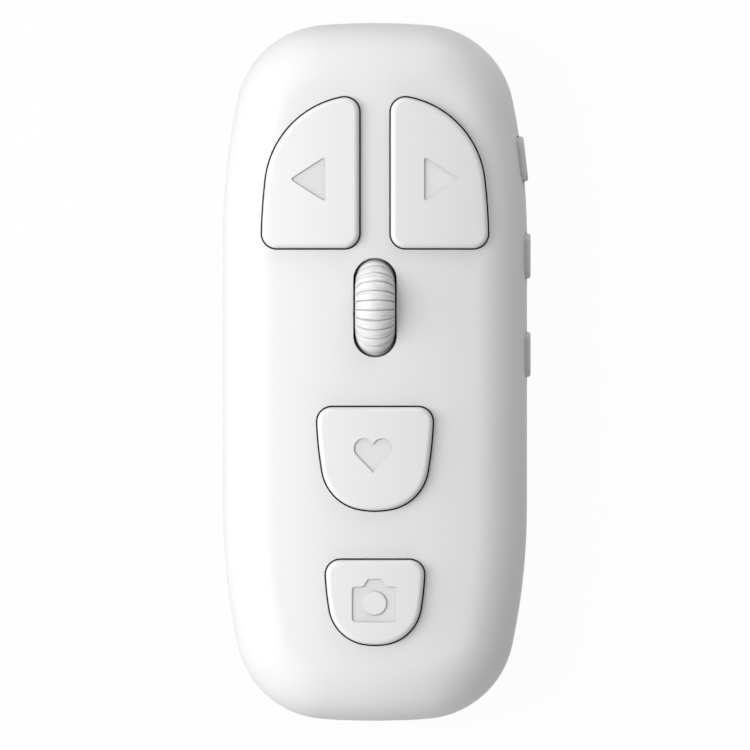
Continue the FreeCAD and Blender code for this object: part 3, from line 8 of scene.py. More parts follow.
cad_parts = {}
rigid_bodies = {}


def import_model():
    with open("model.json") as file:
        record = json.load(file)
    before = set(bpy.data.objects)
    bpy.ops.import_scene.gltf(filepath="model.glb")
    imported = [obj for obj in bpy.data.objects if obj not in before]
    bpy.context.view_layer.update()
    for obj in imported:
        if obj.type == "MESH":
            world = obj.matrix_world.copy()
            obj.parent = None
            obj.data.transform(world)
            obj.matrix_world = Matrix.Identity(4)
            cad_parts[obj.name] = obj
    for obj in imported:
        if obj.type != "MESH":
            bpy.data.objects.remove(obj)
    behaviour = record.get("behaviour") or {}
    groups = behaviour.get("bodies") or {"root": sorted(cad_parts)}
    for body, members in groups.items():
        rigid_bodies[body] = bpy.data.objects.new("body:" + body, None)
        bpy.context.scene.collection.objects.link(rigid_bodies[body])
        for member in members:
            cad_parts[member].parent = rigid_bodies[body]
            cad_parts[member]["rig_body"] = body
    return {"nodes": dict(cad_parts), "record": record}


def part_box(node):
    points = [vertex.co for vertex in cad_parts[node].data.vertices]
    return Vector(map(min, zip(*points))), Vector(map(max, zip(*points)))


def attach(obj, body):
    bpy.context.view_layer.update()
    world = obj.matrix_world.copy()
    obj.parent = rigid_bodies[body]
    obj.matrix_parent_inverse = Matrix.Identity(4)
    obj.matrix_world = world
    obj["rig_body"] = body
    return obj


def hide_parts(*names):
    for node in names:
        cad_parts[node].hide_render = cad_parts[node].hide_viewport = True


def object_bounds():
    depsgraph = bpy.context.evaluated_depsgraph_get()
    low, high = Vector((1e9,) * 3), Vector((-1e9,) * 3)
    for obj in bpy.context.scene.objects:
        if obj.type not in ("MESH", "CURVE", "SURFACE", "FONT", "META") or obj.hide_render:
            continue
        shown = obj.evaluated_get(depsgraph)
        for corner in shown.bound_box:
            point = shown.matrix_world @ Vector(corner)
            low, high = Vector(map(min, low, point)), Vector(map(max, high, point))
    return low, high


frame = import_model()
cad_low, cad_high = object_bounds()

# Remote with a scroll wheel, lying on its back: X to the right, Y towards the arrow keys, Z out of
# the key face. Form sizes are in millimetres, as on a drawing; meshes are in metres.

MM = 0.001
TAU = 2 * math.pi
SLOT_OF = {part["node"]: part["material_slot"] for part in frame["record"]["subparts"]}

shell_low, shell_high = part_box("front_shell")
CASE_HALF_WIDTH = 19.6
CASE_HALF_LENGTH = shell_high.y / MM
CROWN_TOP = shell_high.z / MM
END_RUN = 27.7  # from each end of the case to where its straight flanks stop
FLANK, CORNER, END = 85.8, 12.0, 82.6  # radii of its plan
CROWN, CROWN_SWEEP = 70.0, 600.0  # radii of its front face, across and along
TOP_ROUND, BASE_ROUND = 8.0, 5.0  # radii of its edges
KEY_RISE, KEY_EDGE, KEY_CORNER = 1.0, 0.7, 1.9  # height over the front face, radii of edges and corners
ICON_DEPTH, ICON_DRAFT = 0.20, 0.14  # draft: how far an icon's wall leans out over its depth
ICON_ABOVE = 0.06  # cutter above the key's face

WHEEL = Vector((0.0, 8.28, 12.7))  # middle of the wheel
TREAD, SEAT, TYRE_HALF = 2.6, 4.6, 2.57  # round of the tread, its centre from the axle, half width
RIBS = 34
RIB_TURN = math.radians(-2.9)  # turn of the ribs in the photographed position


# Plans: chains of arcs, anticlockwise, whose straight runs lie between one arc and the next

def unit(angle):
    return Vector((math.cos(angle), math.sin(angle)))


def meeting_arc(flank_centre, flank, shoulder, end_centre, end):
    """Centre and end angles of the shoulder that runs smoothly from a flank into an end."""
    span = end_centre - flank_centre
    near, far = flank - shoulder, end - shoulder
    along = (near ** 2 - far ** 2 + span.length ** 2) / (2 * span.length)
    aside = math.sqrt(near ** 2 - along ** 2)
    course = span.normalized()
    centre = flank_centre + course * along + Vector((-course.y, course.x)) * aside
    low, high = centre - flank_centre, centre - end_centre
    return centre, math.atan2(low.y, low.x), math.atan2(high.y, high.x)


def case_plan():
    """Straight sides, gentle flanks, tight corners and shallow ends."""
    straight = CASE_HALF_LENGTH - END_RUN
    flank_x = CASE_HALF_WIDTH - FLANK
    end_y = CASE_HALF_LENGTH - END
    middle, low, high = meeting_arc(Vector((flank_x, straight)), FLANK, CORNER, Vector((0, end_y)), END)
    half = math.pi
    return [
        (Vector((flank_x, straight)), FLANK, 0, low),
        (middle, CORNER, low, high),
        (Vector((0, end_y)), END, high, half - high),
        (Vector((-middle.x, middle.y)), CORNER, half - high, half - low),
        (Vector((-flank_x, straight)), FLANK, half - low, half),
        (Vector((-flank_x, -straight)), FLANK, half, half + low),
        (Vector((-middle.x, -middle.y)), CORNER, half + low, half + high),
        (Vector((0, -end_y)), END, half + high, TAU - high),
        (Vector((middle.x, -middle.y)), CORNER, TAU - high, TAU - low),
        (Vector((flank_x, -straight)), FLANK, TAU - low, TAU),
    ]


def mirrored(plan):
    """The same plan on the other side of the centre line."""
    return [(Vector((-centre.x, centre.y)), radius, math.pi - end, math.pi - start)
            for centre, radius, start, end in reversed(plan)]


def arrow_plan():
    """Right arrow key: straight foot and inner edge, joined by one swept shoulder."""
    inner, outer, base = 2.03, 14.56, 15.92
    flank, shoulder, shoulder_y = 77.5, 12.1, 23.4
    low = math.asin((shoulder_y - base) / (flank - shoulder))
    flank_centre = Vector((outer - flank, base))
    shoulder_centre = Vector((flank_centre.x + (flank - shoulder) * math.cos(low), shoulder_y))
    corner_x = flank_centre.x + math.sqrt((flank - KEY_CORNER) ** 2 - KEY_CORNER ** 2)
    upper_x = inner + KEY_CORNER
    reach = math.sqrt((shoulder - KEY_CORNER) ** 2 - (upper_x - shoulder_centre.x) ** 2)
    upper = Vector((upper_x, shoulder_y + reach))
    start = math.asin(KEY_CORNER / (flank - KEY_CORNER))
    top = math.atan2(reach, upper_x - shoulder_centre.x)
    return [
        (Vector((inner + KEY_CORNER, base + KEY_CORNER)), KEY_CORNER, math.pi, 1.5 * math.pi),
        (Vector((corner_x, base + KEY_CORNER)), KEY_CORNER, 1.5 * math.pi, TAU + start),
        (flank_centre, flank, start, low),
        (shoulder_centre, shoulder, low, top),
        (upper, KEY_CORNER, top, math.pi),
    ]


def shield_plan(half, top, foot, flank, shoulder, end):
    """Like or camera key: straight upper edge, sides drawn in to a round foot."""
    flank_x = half - flank
    middle, low, high = meeting_arc(Vector((flank_x, -top)), flank, shoulder, Vector((0, -foot - end)), end)
    lean = math.asin(KEY_CORNER / (flank - KEY_CORNER))
    corner_x = flank_x + (flank - KEY_CORNER) * math.cos(lean)
    return [
        (Vector((corner_x, top - KEY_CORNER)), KEY_CORNER, -lean, math.pi / 2),
        (Vector((-corner_x, top - KEY_CORNER)), KEY_CORNER, math.pi / 2, math.pi + lean),
        (Vector((-flank_x, top)), flank, math.pi + lean, math.pi + low),
        (Vector((-middle.x, -middle.y)), shoulder, math.pi + low, math.pi + high),
        (Vector((0, foot + end)), end, math.pi + high, TAU - high),
        (Vector((middle.x, -middle.y)), shoulder, TAU - high, TAU - low),
        (Vector((flank_x, top)), flank, TAU - low, TAU - lean),
    ]


FAR, SHORT = 1e9, 1e-3  # a first distance that any other beats, and a run too short to count


def plan_side(plan, point):
    """Distance outside a plan, negative inside, and the outward direction of its nearest stretch."""
    best = (FAR, Vector((1, 0)))
    for number, (centre, radius, start, end) in enumerate(plan):
        away = point - centre
        if (math.atan2(away.y, away.x) - start) % TAU <= end - start:
            best = min(best, (away.length - radius, away.normalized()), key=lambda found: abs(found[0]))
        after_centre, after_radius, after_start, after_end = plan[(number + 1) % len(plan)]
        first = centre + unit(end) * radius
        run = after_centre + unit(after_start) * after_radius - first
        if run.length > SHORT and 0 <= (point - first).dot(run) <= run.length_squared:
            outward = Vector((run.y, -run.x)).normalized()
            best = min(best, ((point - first).dot(outward), outward), key=lambda found: abs(found[0]))
    return best


# Forms: a plan, a roof and the round between wall and roof give the exact surface of a moulding

def crown(rise):
    """Front face, raised by some millimetres: an arc across, swept along a much longer one."""
    def roof(point):
        height = point.z - CROWN_TOP + CROWN_SWEEP
        along = math.hypot(point.y, height)
        lift = along - CROWN_SWEEP + CROWN
        reach = math.hypot(point.x, lift)
        slope = lift / reach / along
        return reach - CROWN - rise, Vector((point.x / reach, slope * point.y, slope * height))
    return roof


def flat_back(point):
    return -point.z, Vector((0, 0, -1))


def icon_floor(point):
    """Floor of the icons: as deep everywhere, yet moulded to look flat."""
    return crown(KEY_RISE - ICON_DEPTH)(point)[0], Vector((0, 0, 1))


def crown_height(x, y, rise):
    """Height of the front face over a point of the plan, raised by some millimetres."""
    lift = CROWN_SWEEP - CROWN + math.sqrt((CROWN + rise) ** 2 - x ** 2)
    return CROWN_TOP - CROWN_SWEEP + math.sqrt(lift ** 2 - y ** 2)


def form_at(form, point):
    """Distance from a form's surface and its normal there."""
    plan, roof, edge = form
    roof_gap, roof_normal = roof(point)
    if plan is None:
        return roof_gap, roof_normal
    wall_gap, outward = plan_side(plan, point.xy)
    wall_normal = outward.to_3d()
    turn = wall_normal.dot(roof_normal)
    wall, top = wall_gap + edge, roof_gap + edge
    wall_share = (wall - turn * top) / (1 - turn ** 2)
    top_share = (top - turn * wall) / (1 - turn ** 2)
    if wall_share <= 0:
        return roof_gap, roof_normal
    if top_share <= 0:
        return wall_gap, wall_normal
    spoke = wall_normal * wall_share + roof_normal * top_share
    return spoke.length - edge, spoke.normalized()


CASE_PLAN = case_plan()
ARROW_PLAN = arrow_plan()
KEY_PLANS = {
    "prev_key": mirrored(ARROW_PLAN),
    "next_key": ARROW_PLAN,
    "like_key": shield_plan(7.46, -4.52, -17.82, 48.8, 5.89, 10.59),
    "camera_key": shield_plan(6.36, -24.17, -35.09, 38.8, 5.37, 9.79),
}


# Meshes

SHARP = math.radians(32)  # edges that turn more stay sharp
TYRE_SHARP = math.radians(40)
NEAR, ALIKE = 0.1, 0.85  # distance and cosine within which a face counts as lying on a form
SNAP, SPECK = 1e-7, 1e-8  # points this close are joined, edges this short are dropped
# The gap faces that these pick out get painted shade, near black.
CASE_WALL, GAP_REACH = 1.5, 0.5  # thickness of the shell and reach of a gap beyond a key
SKIN_DEPTH, FLANGE_DEPTH = 0.03, 0.3  # how deep the walls of a gap start, and the ledges below them
INSIDE_KEY = 0.3  # how far under a key's edge its gap still counts
UPRIGHT = 0.6  # largest cosine between a gap's wall and the shell's own normal


def new_piece(name, mesh, node, *materials):
    """An object that stands for a node of the frame, on that node's body."""
    piece = bpy.data.objects.new(name, mesh)
    bpy.context.scene.collection.objects.link(piece)
    places = [face.material_index for face in mesh.polygons]
    mesh.materials.clear()
    for finish in materials:
        mesh.materials.append(finish)
    mesh.polygons.foreach_set("material_index", places)
    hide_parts(node)
    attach(piece, frame["nodes"][node]["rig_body"])
    return piece


def merged_copy(node, name):
    """The node's own triangles, joined at their shared corners."""
    mesh = frame["nodes"][node].data.copy()
    mesh.name = name
    mesh.normals_split_custom_set([(0, 0, 0)] * len(mesh.loops))
    shape = bmesh.new()
    shape.from_mesh(mesh)
    bmesh.ops.remove_doubles(shape, verts=shape.verts, dist=SNAP)
    bmesh.ops.dissolve_degenerate(shape, edges=shape.edges, dist=SPECK)
    shape.to_mesh(mesh)
    shape.free()
    return mesh


def gap_walls_painted_shade(node, name, form):
    """A merged copy whose narrow gaps round keys and wheel have a surface of their own, painted near black
    as shade.
    """
    mesh = merged_copy(node, name)
    for face in mesh.polygons:
        centre = face.center / MM
        gap, outward = form_at(form, centre)
        sides = [plan_side(plan, centre.xy)[0] for plan in KEY_PLANS.values()]
        beside_key = any(-INSIDE_KEY < side < GAP_REACH for side in sides)
        upright = abs(face.normal.dot(outward)) < UPRIGHT
        if upright and -CASE_WALL < gap < -SKIN_DEPTH or gap < -FLANGE_DEPTH and beside_key:
            face.material_index = 1
    return mesh


def smooth_rounds(mesh, forms=(), sharp=SHARP):
    """Smooth shading between sharp edges, with the exact normals of any form a face lies on."""
    shape = bmesh.new()
    shape.from_mesh(mesh)
    for face in shape.faces:
        face.smooth = True
    for edge in shape.edges:
        edge.smooth = len(edge.link_faces) == 2 and edge.calc_face_angle(0) < sharp
    shape.to_mesh(mesh)
    shape.free()
    if not forms:
        return mesh
    normals = [Vector((0, 0, 0))] * len(mesh.loops)
    for face in mesh.polygons:
        centre = face.center / MM
        for form in forms:
            gap, normal = form_at(form, centre)
            if abs(gap) < NEAR and normal.dot(face.normal) > ALIKE:
                for loop in face.loop_indices:
                    point = mesh.vertices[mesh.loops[loop].vertex_index].co / MM
                    normals[loop] = form_at(form, point)[1]
                break
    mesh.normals_split_custom_set(normals)
    return mesh


ICON_SLOTS = 3  # face, floor and wall of an icon


def cut_away(mesh, cutter):
    """A mesh with a closed cutter's space taken out of it."""
    pieces = [bpy.data.objects.new(word, part) for word, part in (("cut_blank", mesh), ("cutter", cutter))]
    for piece in pieces:
        bpy.context.scene.collection.objects.link(piece)
        while len(piece.data.materials) < ICON_SLOTS:
            piece.data.materials.append(None)
    modifier = pieces[0].modifiers.new("cut", "BOOLEAN")
    modifier.object = pieces[1]
    modifier.operation = "DIFFERENCE"
    modifier.solver = "EXACT"
    result = bpy.data.meshes.new_from_object(pieces[0].evaluated_get(bpy.context.evaluated_depsgraph_get()))
    for piece in pieces:
        bpy.data.objects.remove(piece)
    return result


# Icons: outlines pressed into the keys, with a floor that follows the crown

def rounded(corners, radius, steps=5):
    """A polygon's points with each corner turned by a small arc."""
    points = []
    count = len(corners)
    for number, corner in enumerate(corners):
        here = Vector(corner)
        back = (Vector(corners[number - 1]) - here).normalized()
        ahead = (Vector(corners[(number + 1) % count]) - here).normalized()
        middle = (back + ahead).normalized()
        half = middle.angle(back)
        centre = here + middle * (radius / math.sin(half))
        first = here + back * (radius / math.tan(half)) - centre
        last = here + ahead * (radius / math.tan(half)) - centre
        sweep = first.angle_signed(last)
        for step in range(steps + 1):
            turn = Matrix.Rotation(-sweep * step / steps, 2)
            points.append(centre + turn @ first)
    return points


def triangle(side):
    """Arrow to the right where the side is 1, to the left where it is -1."""
    base_x, apex_x, apex_y, half, corner = 6.3, 11.0, 24.8, 3.0, 0.3
    corners = [(side * base_x, apex_y - half), (side * apex_x, apex_y), (side * base_x, apex_y + half)]
    return rounded(corners[::side], corner)


def heart():
    """Two round lobes, each running on in a straight line to the tip."""
    lobe, lobe_x, lobe_y = 1.35, 1.18, -9.85
    tip, shift = Vector((0, -13.0)), Vector((-0.22, 0))
    centre = Vector((lobe_x, lobe_y))
    reach = centre - tip
    start = math.atan2(-reach.y, -reach.x) + math.acos(lobe / reach.length)
    notch = math.pi - math.acos(lobe_x / lobe)
    steps = 14
    right = [centre + unit(start + (notch - start) * step / steps) * lobe for step in range(steps + 1)]
    left = [Vector((-point.x, point.y)) for point in reversed(right[:-1])]
    return [point + shift for point in [tip] + right + left]


def camera():
    """Body with a hump for the viewfinder."""
    low, high, left, right, corner = -32.2, -27.6, -3.0, 2.9, 0.5
    hump_top, hump_half, hump_foot = -26.6, 0.95, 1.52
    return rounded([(left, low), (right, low), (right, high), (hump_foot, high), (hump_half, hump_top),
                    (-hump_half, hump_top), (-hump_foot, high), (left, high)], corner)


def lens():
    centre, radius, steps = Vector((-0.05, -29.75)), 1.46, 40
    return [centre + unit(TAU * step / steps) * radius for step in range(steps)]


MITRE = 0.5  # least share of a corner's offset, so that sharp corners don't run away


def grown(outline, reach):
    """The outline moved outwards, inwards where the reach is negative."""
    points = []
    for number, here in enumerate(outline):
        back = (here - outline[number - 1]).normalized()
        ahead = (outline[(number + 1) % len(outline)] - here).normalized()
        outward = Vector((back.y + ahead.y, -back.x - ahead.x)).normalized()
        share = max(MITRE, outward.dot(Vector((back.y, -back.x))))
        points.append(here + outward * (reach / share))
    return points


def icon_cutter(outline, low_rise, high_rise, flare=1):
    """A closed block over an outline, with drafted walls between two surfaces that follow the crown.

    Its floor and top have surface 1 and its walls surface 2."""
    shape = bmesh.new()
    rings = []
    for rise in (low_rise, high_rise):
        ring = grown(outline, flare * (rise - KEY_RISE) * ICON_DRAFT / ICON_DEPTH)
        points = [(point.x * MM, point.y * MM, crown_height(point.x, point.y, rise) * MM) for point in ring]
        rings.append([shape.verts.new(point) for point in points])
    for ring in rings:
        shape.faces.new(ring).material_index = 1
    low, high = rings
    for number in range(len(outline)):
        wall = shape.faces.new((low[number - 1], low[number], high[number], high[number - 1]))
        wall.material_index = 2
    bmesh.ops.triangulate(shape, faces=shape.faces)
    bmesh.ops.recalc_face_normals(shape, faces=shape.faces)
    mesh = bpy.data.meshes.new("icon_cutter")
    shape.to_mesh(mesh)
    shape.free()
    return mesh


def icon_cutters():
    """One cutter for each front key; the camera's leaves its lens standing."""
    above, below, past = KEY_RISE + ICON_ABOVE, KEY_RISE - ICON_DEPTH, 0.1
    body = icon_cutter(camera(), below, above)
    island = icon_cutter(lens(), below - past, above + past, -1)
    return {
        "prev_key": icon_cutter(triangle(-1), below, above),
        "next_key": icon_cutter(triangle(1), below, above),
        "like_key": icon_cutter(heart(), below, above),
        "camera_key": cut_away(body, island),
    }


# Tyre

GROOVE_HALF, GROOVE_DEPTH = 0.09, 0.17
RIB_DROP = 0.05  # fall of a rib's round towards its grooves
GATHER = 0.75  # how far the mesh lines gather at the grooves


def groove_depth(off, pitch):
    """How far the tread lies below its crest, at a distance from the nearest groove's middle."""
    rib = RIB_DROP * (1 - min(1.0, 2 * off / pitch)) ** 2
    return rib + GROOVE_DEPTH * max(0.0, 1 - off / GROOVE_HALF)


def tyre_mesh():
    """The tyre's section spun round the axle, then pressed in along each groove."""
    lean = math.asin(TYRE_HALF / TREAD)
    across, around, slack = 26, 14, 0.01
    shape = bmesh.new()
    turns = [lean * (2 * step / across - 1) for step in range(across + 1)]
    tread = [Vector((TREAD * math.sin(turn), 0, SEAT + TREAD * math.cos(turn))) for turn in turns]
    section = tread + [Vector((TYRE_HALF, 0, SEAT)), Vector((-TYRE_HALF, 0, SEAT))]
    points = [shape.verts.new(point) for point in section]
    edges = [shape.edges.new((points[number - 1], points[number])) for number in range(len(points))]
    bmesh.ops.spin(shape, geom=points + edges, cent=(0, 0, 0), axis=(1, 0, 0), angle=TAU,
                   steps=RIBS * around, use_merge=True)
    bmesh.ops.recalc_face_normals(shape, faces=shape.faces)
    pitch = TAU / RIBS
    for vertex in shape.verts:
        angle = math.atan2(vertex.co.y, vertex.co.z)
        radius = math.hypot(vertex.co.y, vertex.co.z)
        share = (angle / pitch) % 1.0
        eased = share - GATHER / TAU * math.sin(TAU * share)
        angle += (eased - share) * pitch
        if radius > SEAT + slack:
            tilt = math.atan2(vertex.co.x, radius - SEAT)
            off = min(eased, 1 - eased) * pitch * radius
            depth = groove_depth(off, pitch * radius)
            vertex.co.x -= depth * math.sin(tilt)
            radius -= depth * math.cos(tilt)
        angle += RIB_TURN
        vertex.co.y, vertex.co.z = radius * math.sin(angle), radius * math.cos(angle)
        vertex.co = (vertex.co + WHEEL) * MM
    mesh = bpy.data.meshes.new("wheel_tyre_ribbed")
    shape.to_mesh(mesh)
    shape.free()
    return smooth_rounds(mesh, sharp=TYRE_SHARP)


# Shader node groups

def new_group(name, inputs, outputs):
    """An empty group with named sockets; returns it with its two end nodes."""
    group = bpy.data.node_groups.new(name, "ShaderNodeTree")
    for label, kind, value in inputs:
        socket = group.interface.new_socket(label, in_out="INPUT", socket_type=kind)
        socket.default_value = value
    for label, kind in outputs:
        group.interface.new_socket(label, in_out="OUTPUT", socket_type=kind)
    return group, group.nodes.new("NodeGroupInput"), group.nodes.new("NodeGroupOutput")


def add(tree, kind, values=None, **settings):
    """A node with its settings and its unlinked socket values."""
    node = tree.nodes.new(kind)
    for label, value in settings.items():
        setattr(node, label, value)
    for label, value in (values or {}).items():
        node.inputs[label].default_value = value
    return node


FLOAT, COLOR = "NodeSocketFloat", "NodeSocketColor"


def grain_group():
    """Fine spark-eroded texture of a mould, as a height."""
    group, entry, leave = new_group("mould_grain", [("Scale", FLOAT, 5000.0), ("Pits", FLOAT, 0.35)],
                                    [("Height", FLOAT)])
    place = add(group, "ShaderNodeTexCoord")
    noise = add(group, "ShaderNodeTexNoise", {"Detail": 3.0, "Roughness": 0.6})
    cells = add(group, "ShaderNodeTexVoronoi", feature="SMOOTH_F1")
    weigh = add(group, "ShaderNodeMath", operation="MULTIPLY")
    total = add(group, "ShaderNodeMath", operation="ADD")
    link = group.links.new
    link(place.outputs["Object"], noise.inputs["Vector"])
    link(place.outputs["Object"], cells.inputs["Vector"])
    link(entry.outputs["Scale"], noise.inputs["Scale"])
    link(entry.outputs["Scale"], cells.inputs["Scale"])
    link(cells.outputs["Distance"], weigh.inputs[0])
    link(entry.outputs["Pits"], weigh.inputs[1])
    link(noise.outputs["Fac"], total.inputs[0])
    link(weigh.outputs[0], total.inputs[1])
    link(total.outputs[0], leave.inputs["Height"])
    return group


def handled_group():
    """Roughness that drifts where hands have polished the surface."""
    group, entry, leave = new_group("handled_roughness", [("Roughness", FLOAT, 0.5), ("Drift", FLOAT, 0.08),
                                                          ("Scale", FLOAT, 90.0)], [("Roughness", FLOAT)])
    place = add(group, "ShaderNodeTexCoord")
    noise = add(group, "ShaderNodeTexNoise", {"Detail": 5.0, "Roughness": 0.65, "Distortion": 0.4})
    centred = add(group, "ShaderNodeMath", operation="SUBTRACT")
    centred.inputs[1].default_value = 0.5
    weigh = add(group, "ShaderNodeMath", operation="MULTIPLY")
    total = add(group, "ShaderNodeMath", operation="ADD", use_clamp=True)
    link = group.links.new
    link(place.outputs["Object"], noise.inputs["Vector"])
    link(entry.outputs["Scale"], noise.inputs["Scale"])
    link(noise.outputs["Fac"], centred.inputs[0])
    link(centred.outputs[0], weigh.inputs[0])
    link(entry.outputs["Drift"], weigh.inputs[1])
    link(weigh.outputs[0], total.inputs[0])
    link(entry.outputs["Roughness"], total.inputs[1])
    link(total.outputs[0], leave.inputs["Roughness"])
    return group


def tone_group():
    """Colour that varies slightly between two close tones."""
    group, entry, leave = new_group("tone_drift", [("Main", COLOR, (0.8, 0.8, 0.8, 1)),
                                                   ("Other", COLOR, (0.75, 0.75, 0.75, 1)),
                                                   ("Scale", FLOAT, 60.0)], [("Color", COLOR)])
    place = add(group, "ShaderNodeTexCoord")
    noise = add(group, "ShaderNodeTexNoise", {"Detail": 4.0, "Roughness": 0.55})
    blend = add(group, "ShaderNodeMix", data_type="RGBA")
    link = group.links.new
    link(place.outputs["Object"], noise.inputs["Vector"])
    link(entry.outputs["Scale"], noise.inputs["Scale"])
    link(noise.outputs["Fac"], blend.inputs["Factor"])
    link(entry.outputs["Main"], blend.inputs["A"])
    link(entry.outputs["Other"], blend.inputs["B"])
    link(blend.outputs["Result"], leave.inputs["Color"])
    return group


def brushed_group():
    """Fine lines of rolled or brushed metal, as a height."""
    group, entry, leave = new_group("rolled_lines", [("Scale", FLOAT, 3000.0), ("Stretch", FLOAT, 0.04)],
                                    [("Height", FLOAT)])
    place = add(group, "ShaderNodeTexCoord")
    parts = add(group, "ShaderNodeSeparateXYZ")
    along = add(group, "ShaderNodeMath", operation="MULTIPLY")
    joined = add(group, "ShaderNodeCombineXYZ")
    noise = add(group, "ShaderNodeTexNoise", {"Detail": 2.0})
    link = group.links.new
    link(place.outputs["Object"], parts.inputs[0])
    link(parts.outputs["X"], along.inputs[0])
    link(entry.outputs["Stretch"], along.inputs[1])
    link(along.outputs[0], joined.inputs["X"])
    link(parts.outputs["Y"], joined.inputs["Y"])
    link(parts.outputs["Z"], joined.inputs["Z"])
    link(joined.outputs[0], noise.inputs["Vector"])
    link(entry.outputs["Scale"], noise.inputs["Scale"])
    link(noise.outputs["Fac"], leave.inputs["Height"])
    return group


def ring_group():
    """Faint lines across the tread, laid round the axle, as a height and a tone."""
    group, entry, leave = new_group("ring_lines", [("Scale", FLOAT, 24.0), ("Stretch", FLOAT, 8.0)],
                                    [("Height", FLOAT), ("Tone", FLOAT)])
    place = add(group, "ShaderNodeTexCoord")
    parts = add(group, "ShaderNodeSeparateXYZ")
    along = add(group, "ShaderNodeMath", operation="SUBTRACT")
    along.inputs[1].default_value = WHEEL.y * MM
    upward = add(group, "ShaderNodeMath", operation="SUBTRACT")
    upward.inputs[1].default_value = WHEEL.z * MM
    angle = add(group, "ShaderNodeMath", operation="ARCTAN2")
    across = add(group, "ShaderNodeMath", operation="MULTIPLY")
    joined = add(group, "ShaderNodeCombineXYZ")
    noise = add(group, "ShaderNodeTexNoise", {"Detail": 2.0})
    thin, full, darkest = 0.54, 0.64, 0.8
    line = add(group, "ShaderNodeMapRange",
               {"From Min": thin, "From Max": full, "To Min": 1.0, "To Max": darkest})
    link = group.links.new
    link(place.outputs["Object"], parts.inputs[0])
    link(parts.outputs["Y"], along.inputs[0])
    link(parts.outputs["Z"], upward.inputs[0])
    link(along.outputs[0], angle.inputs[0])
    link(upward.outputs[0], angle.inputs[1])
    link(parts.outputs["X"], across.inputs[0])
    link(entry.outputs["Stretch"], across.inputs[1])
    link(across.outputs[0], joined.inputs["X"])
    link(angle.outputs[0], joined.inputs["Y"])
    link(joined.outputs[0], noise.inputs["Vector"])
    link(entry.outputs["Scale"], noise.inputs["Scale"])
    link(noise.outputs["Fac"], leave.inputs["Height"])
    link(noise.outputs["Fac"], line.inputs["Value"])
    link(line.outputs["Result"], leave.inputs["Tone"])
    return group


# Painted shade: surfaces that lie below the front face are darkened, as if in the shadow of the gaps.
GAP_SHADE_DEPTH = 0.35  # over this depth below the front face the tone falls to its least


def painted_gap_shade_group():
    """Tone left of a surface that lies below the front face, as painted shade: one above it, little in the
    gaps.
    """
    group, entry, leave = new_group("painted_gap_shade", [("Left", FLOAT, 0.1)], [("Tone", FLOAT)])
    place = add(group, "ShaderNodeTexCoord")
    parts = add(group, "ShaderNodeSeparateXYZ")
    link = group.links.new
    link(place.outputs["Object"], parts.inputs[0])
    height = parts.outputs["Z"]
    for axis, radius in (("X", CROWN), ("Y", CROWN_SWEEP)):
        square = add(group, "ShaderNodeMath", operation="MULTIPLY")
        share = add(group, "ShaderNodeMath", operation="DIVIDE")
        share.inputs[1].default_value = 2 * radius * MM
        total = add(group, "ShaderNodeMath", operation="ADD")
        link(parts.outputs[axis], square.inputs[0])
        link(parts.outputs[axis], square.inputs[1])
        link(square.outputs[0], share.inputs[0])
        link(height, total.inputs[0])
        link(share.outputs[0], total.inputs[1])
        height = total.outputs[0]
    fade = add(group, "ShaderNodeMapRange", {"From Min": (CROWN_TOP - GAP_SHADE_DEPTH) * MM,
                                             "From Max": CROWN_TOP * MM, "To Max": 1.0})
    link(height, fade.inputs["Value"])
    link(entry.outputs["Left"], fade.inputs["To Min"])
    link(fade.outputs["Result"], leave.inputs["Tone"])
    return group


GRAIN, HANDLED, TONE, BRUSHED = grain_group(), handled_group(), tone_group(), brushed_group()
RINGS, GAP_SHADE = ring_group(), painted_gap_shade_group()


def placed(tree, group, **values):
    """One use of a group in a material, with its own values."""
    node = add(tree, "ShaderNodeGroup", node_tree=group)
    for label, value in values.items():
        node.inputs[label].default_value = value
    return node


def material(name, main, other, tone_scale, roughness, drift, height_group, height_values, depth, metal=0.0,
             specular=0.5, bounce=1.0, dimmers=()):
    """A surface whose tone and roughness drift, over a fine relief.

    Other surfaces receive a share of its light, and each group among the dimmers takes off some tone:
    painted shade in the gaps, or the faint lines of the tread."""
    made = bpy.data.materials.new(name)
    made.use_nodes = True
    tree = made.node_tree
    shader = tree.nodes["Principled BSDF"]
    shader.inputs["Metallic"].default_value = metal
    shader.inputs["Specular IOR Level"].default_value = specular
    tone = placed(tree, TONE, Main=(*main, 1), Other=(*other, 1), Scale=tone_scale)
    rough = placed(tree, HANDLED, Roughness=roughness, Drift=drift)
    relief = placed(tree, height_group, **height_values)
    bump = add(tree, "ShaderNodeBump", {"Strength": 1.0, "Distance": depth * MM})
    path = add(tree, "ShaderNodeLightPath")
    handed = add(tree, "ShaderNodeMapRange", {"To Min": bounce, "To Max": 1.0})
    shade = add(tree, "ShaderNodeMix", {"Factor": 1.0}, data_type="RGBA", blend_type="MULTIPLY")
    link = tree.links.new
    link(path.outputs["Is Camera Ray"], handed.inputs["Value"])
    link(tone.outputs["Color"], shade.inputs["A"])
    kept = handed.outputs["Result"]
    for group, values in dimmers:
        product = add(tree, "ShaderNodeMath", operation="MULTIPLY")
        link(kept, product.inputs[0])
        link(placed(tree, group, **values).outputs["Tone"], product.inputs[1])
        kept = product.outputs[0]
    link(kept, shade.inputs["B"])
    link(shade.outputs["Result"], shader.inputs["Base Color"])
    link(rough.outputs["Roughness"], shader.inputs["Roughness"])
    link(relief.outputs["Height"], bump.inputs["Height"])
    link(bump.outputs["Normal"], shader.inputs["Normal"])
    return made


PLASTIC_PATCH, METAL_PATCH = 45.0, 400.0  # scales of the drift in tone


def plastic(name, tone, roughness, grain_scale=5200.0, depth=0.003, drift=0.08, spread=0.985, specular=0.4,
            bounce=1.0, dimmers=()):
    """Moulded plastic: one tone, drifting a little darker, under a fine grain."""
    other = tuple(value * spread for value in tone)
    return material(name, tone, other, PLASTIC_PATCH, roughness, drift, GRAIN,
                    {"Scale": grain_scale, "Pits": 0.35}, depth, specular=specular, bounce=bounce,
                    dimmers=dimmers)


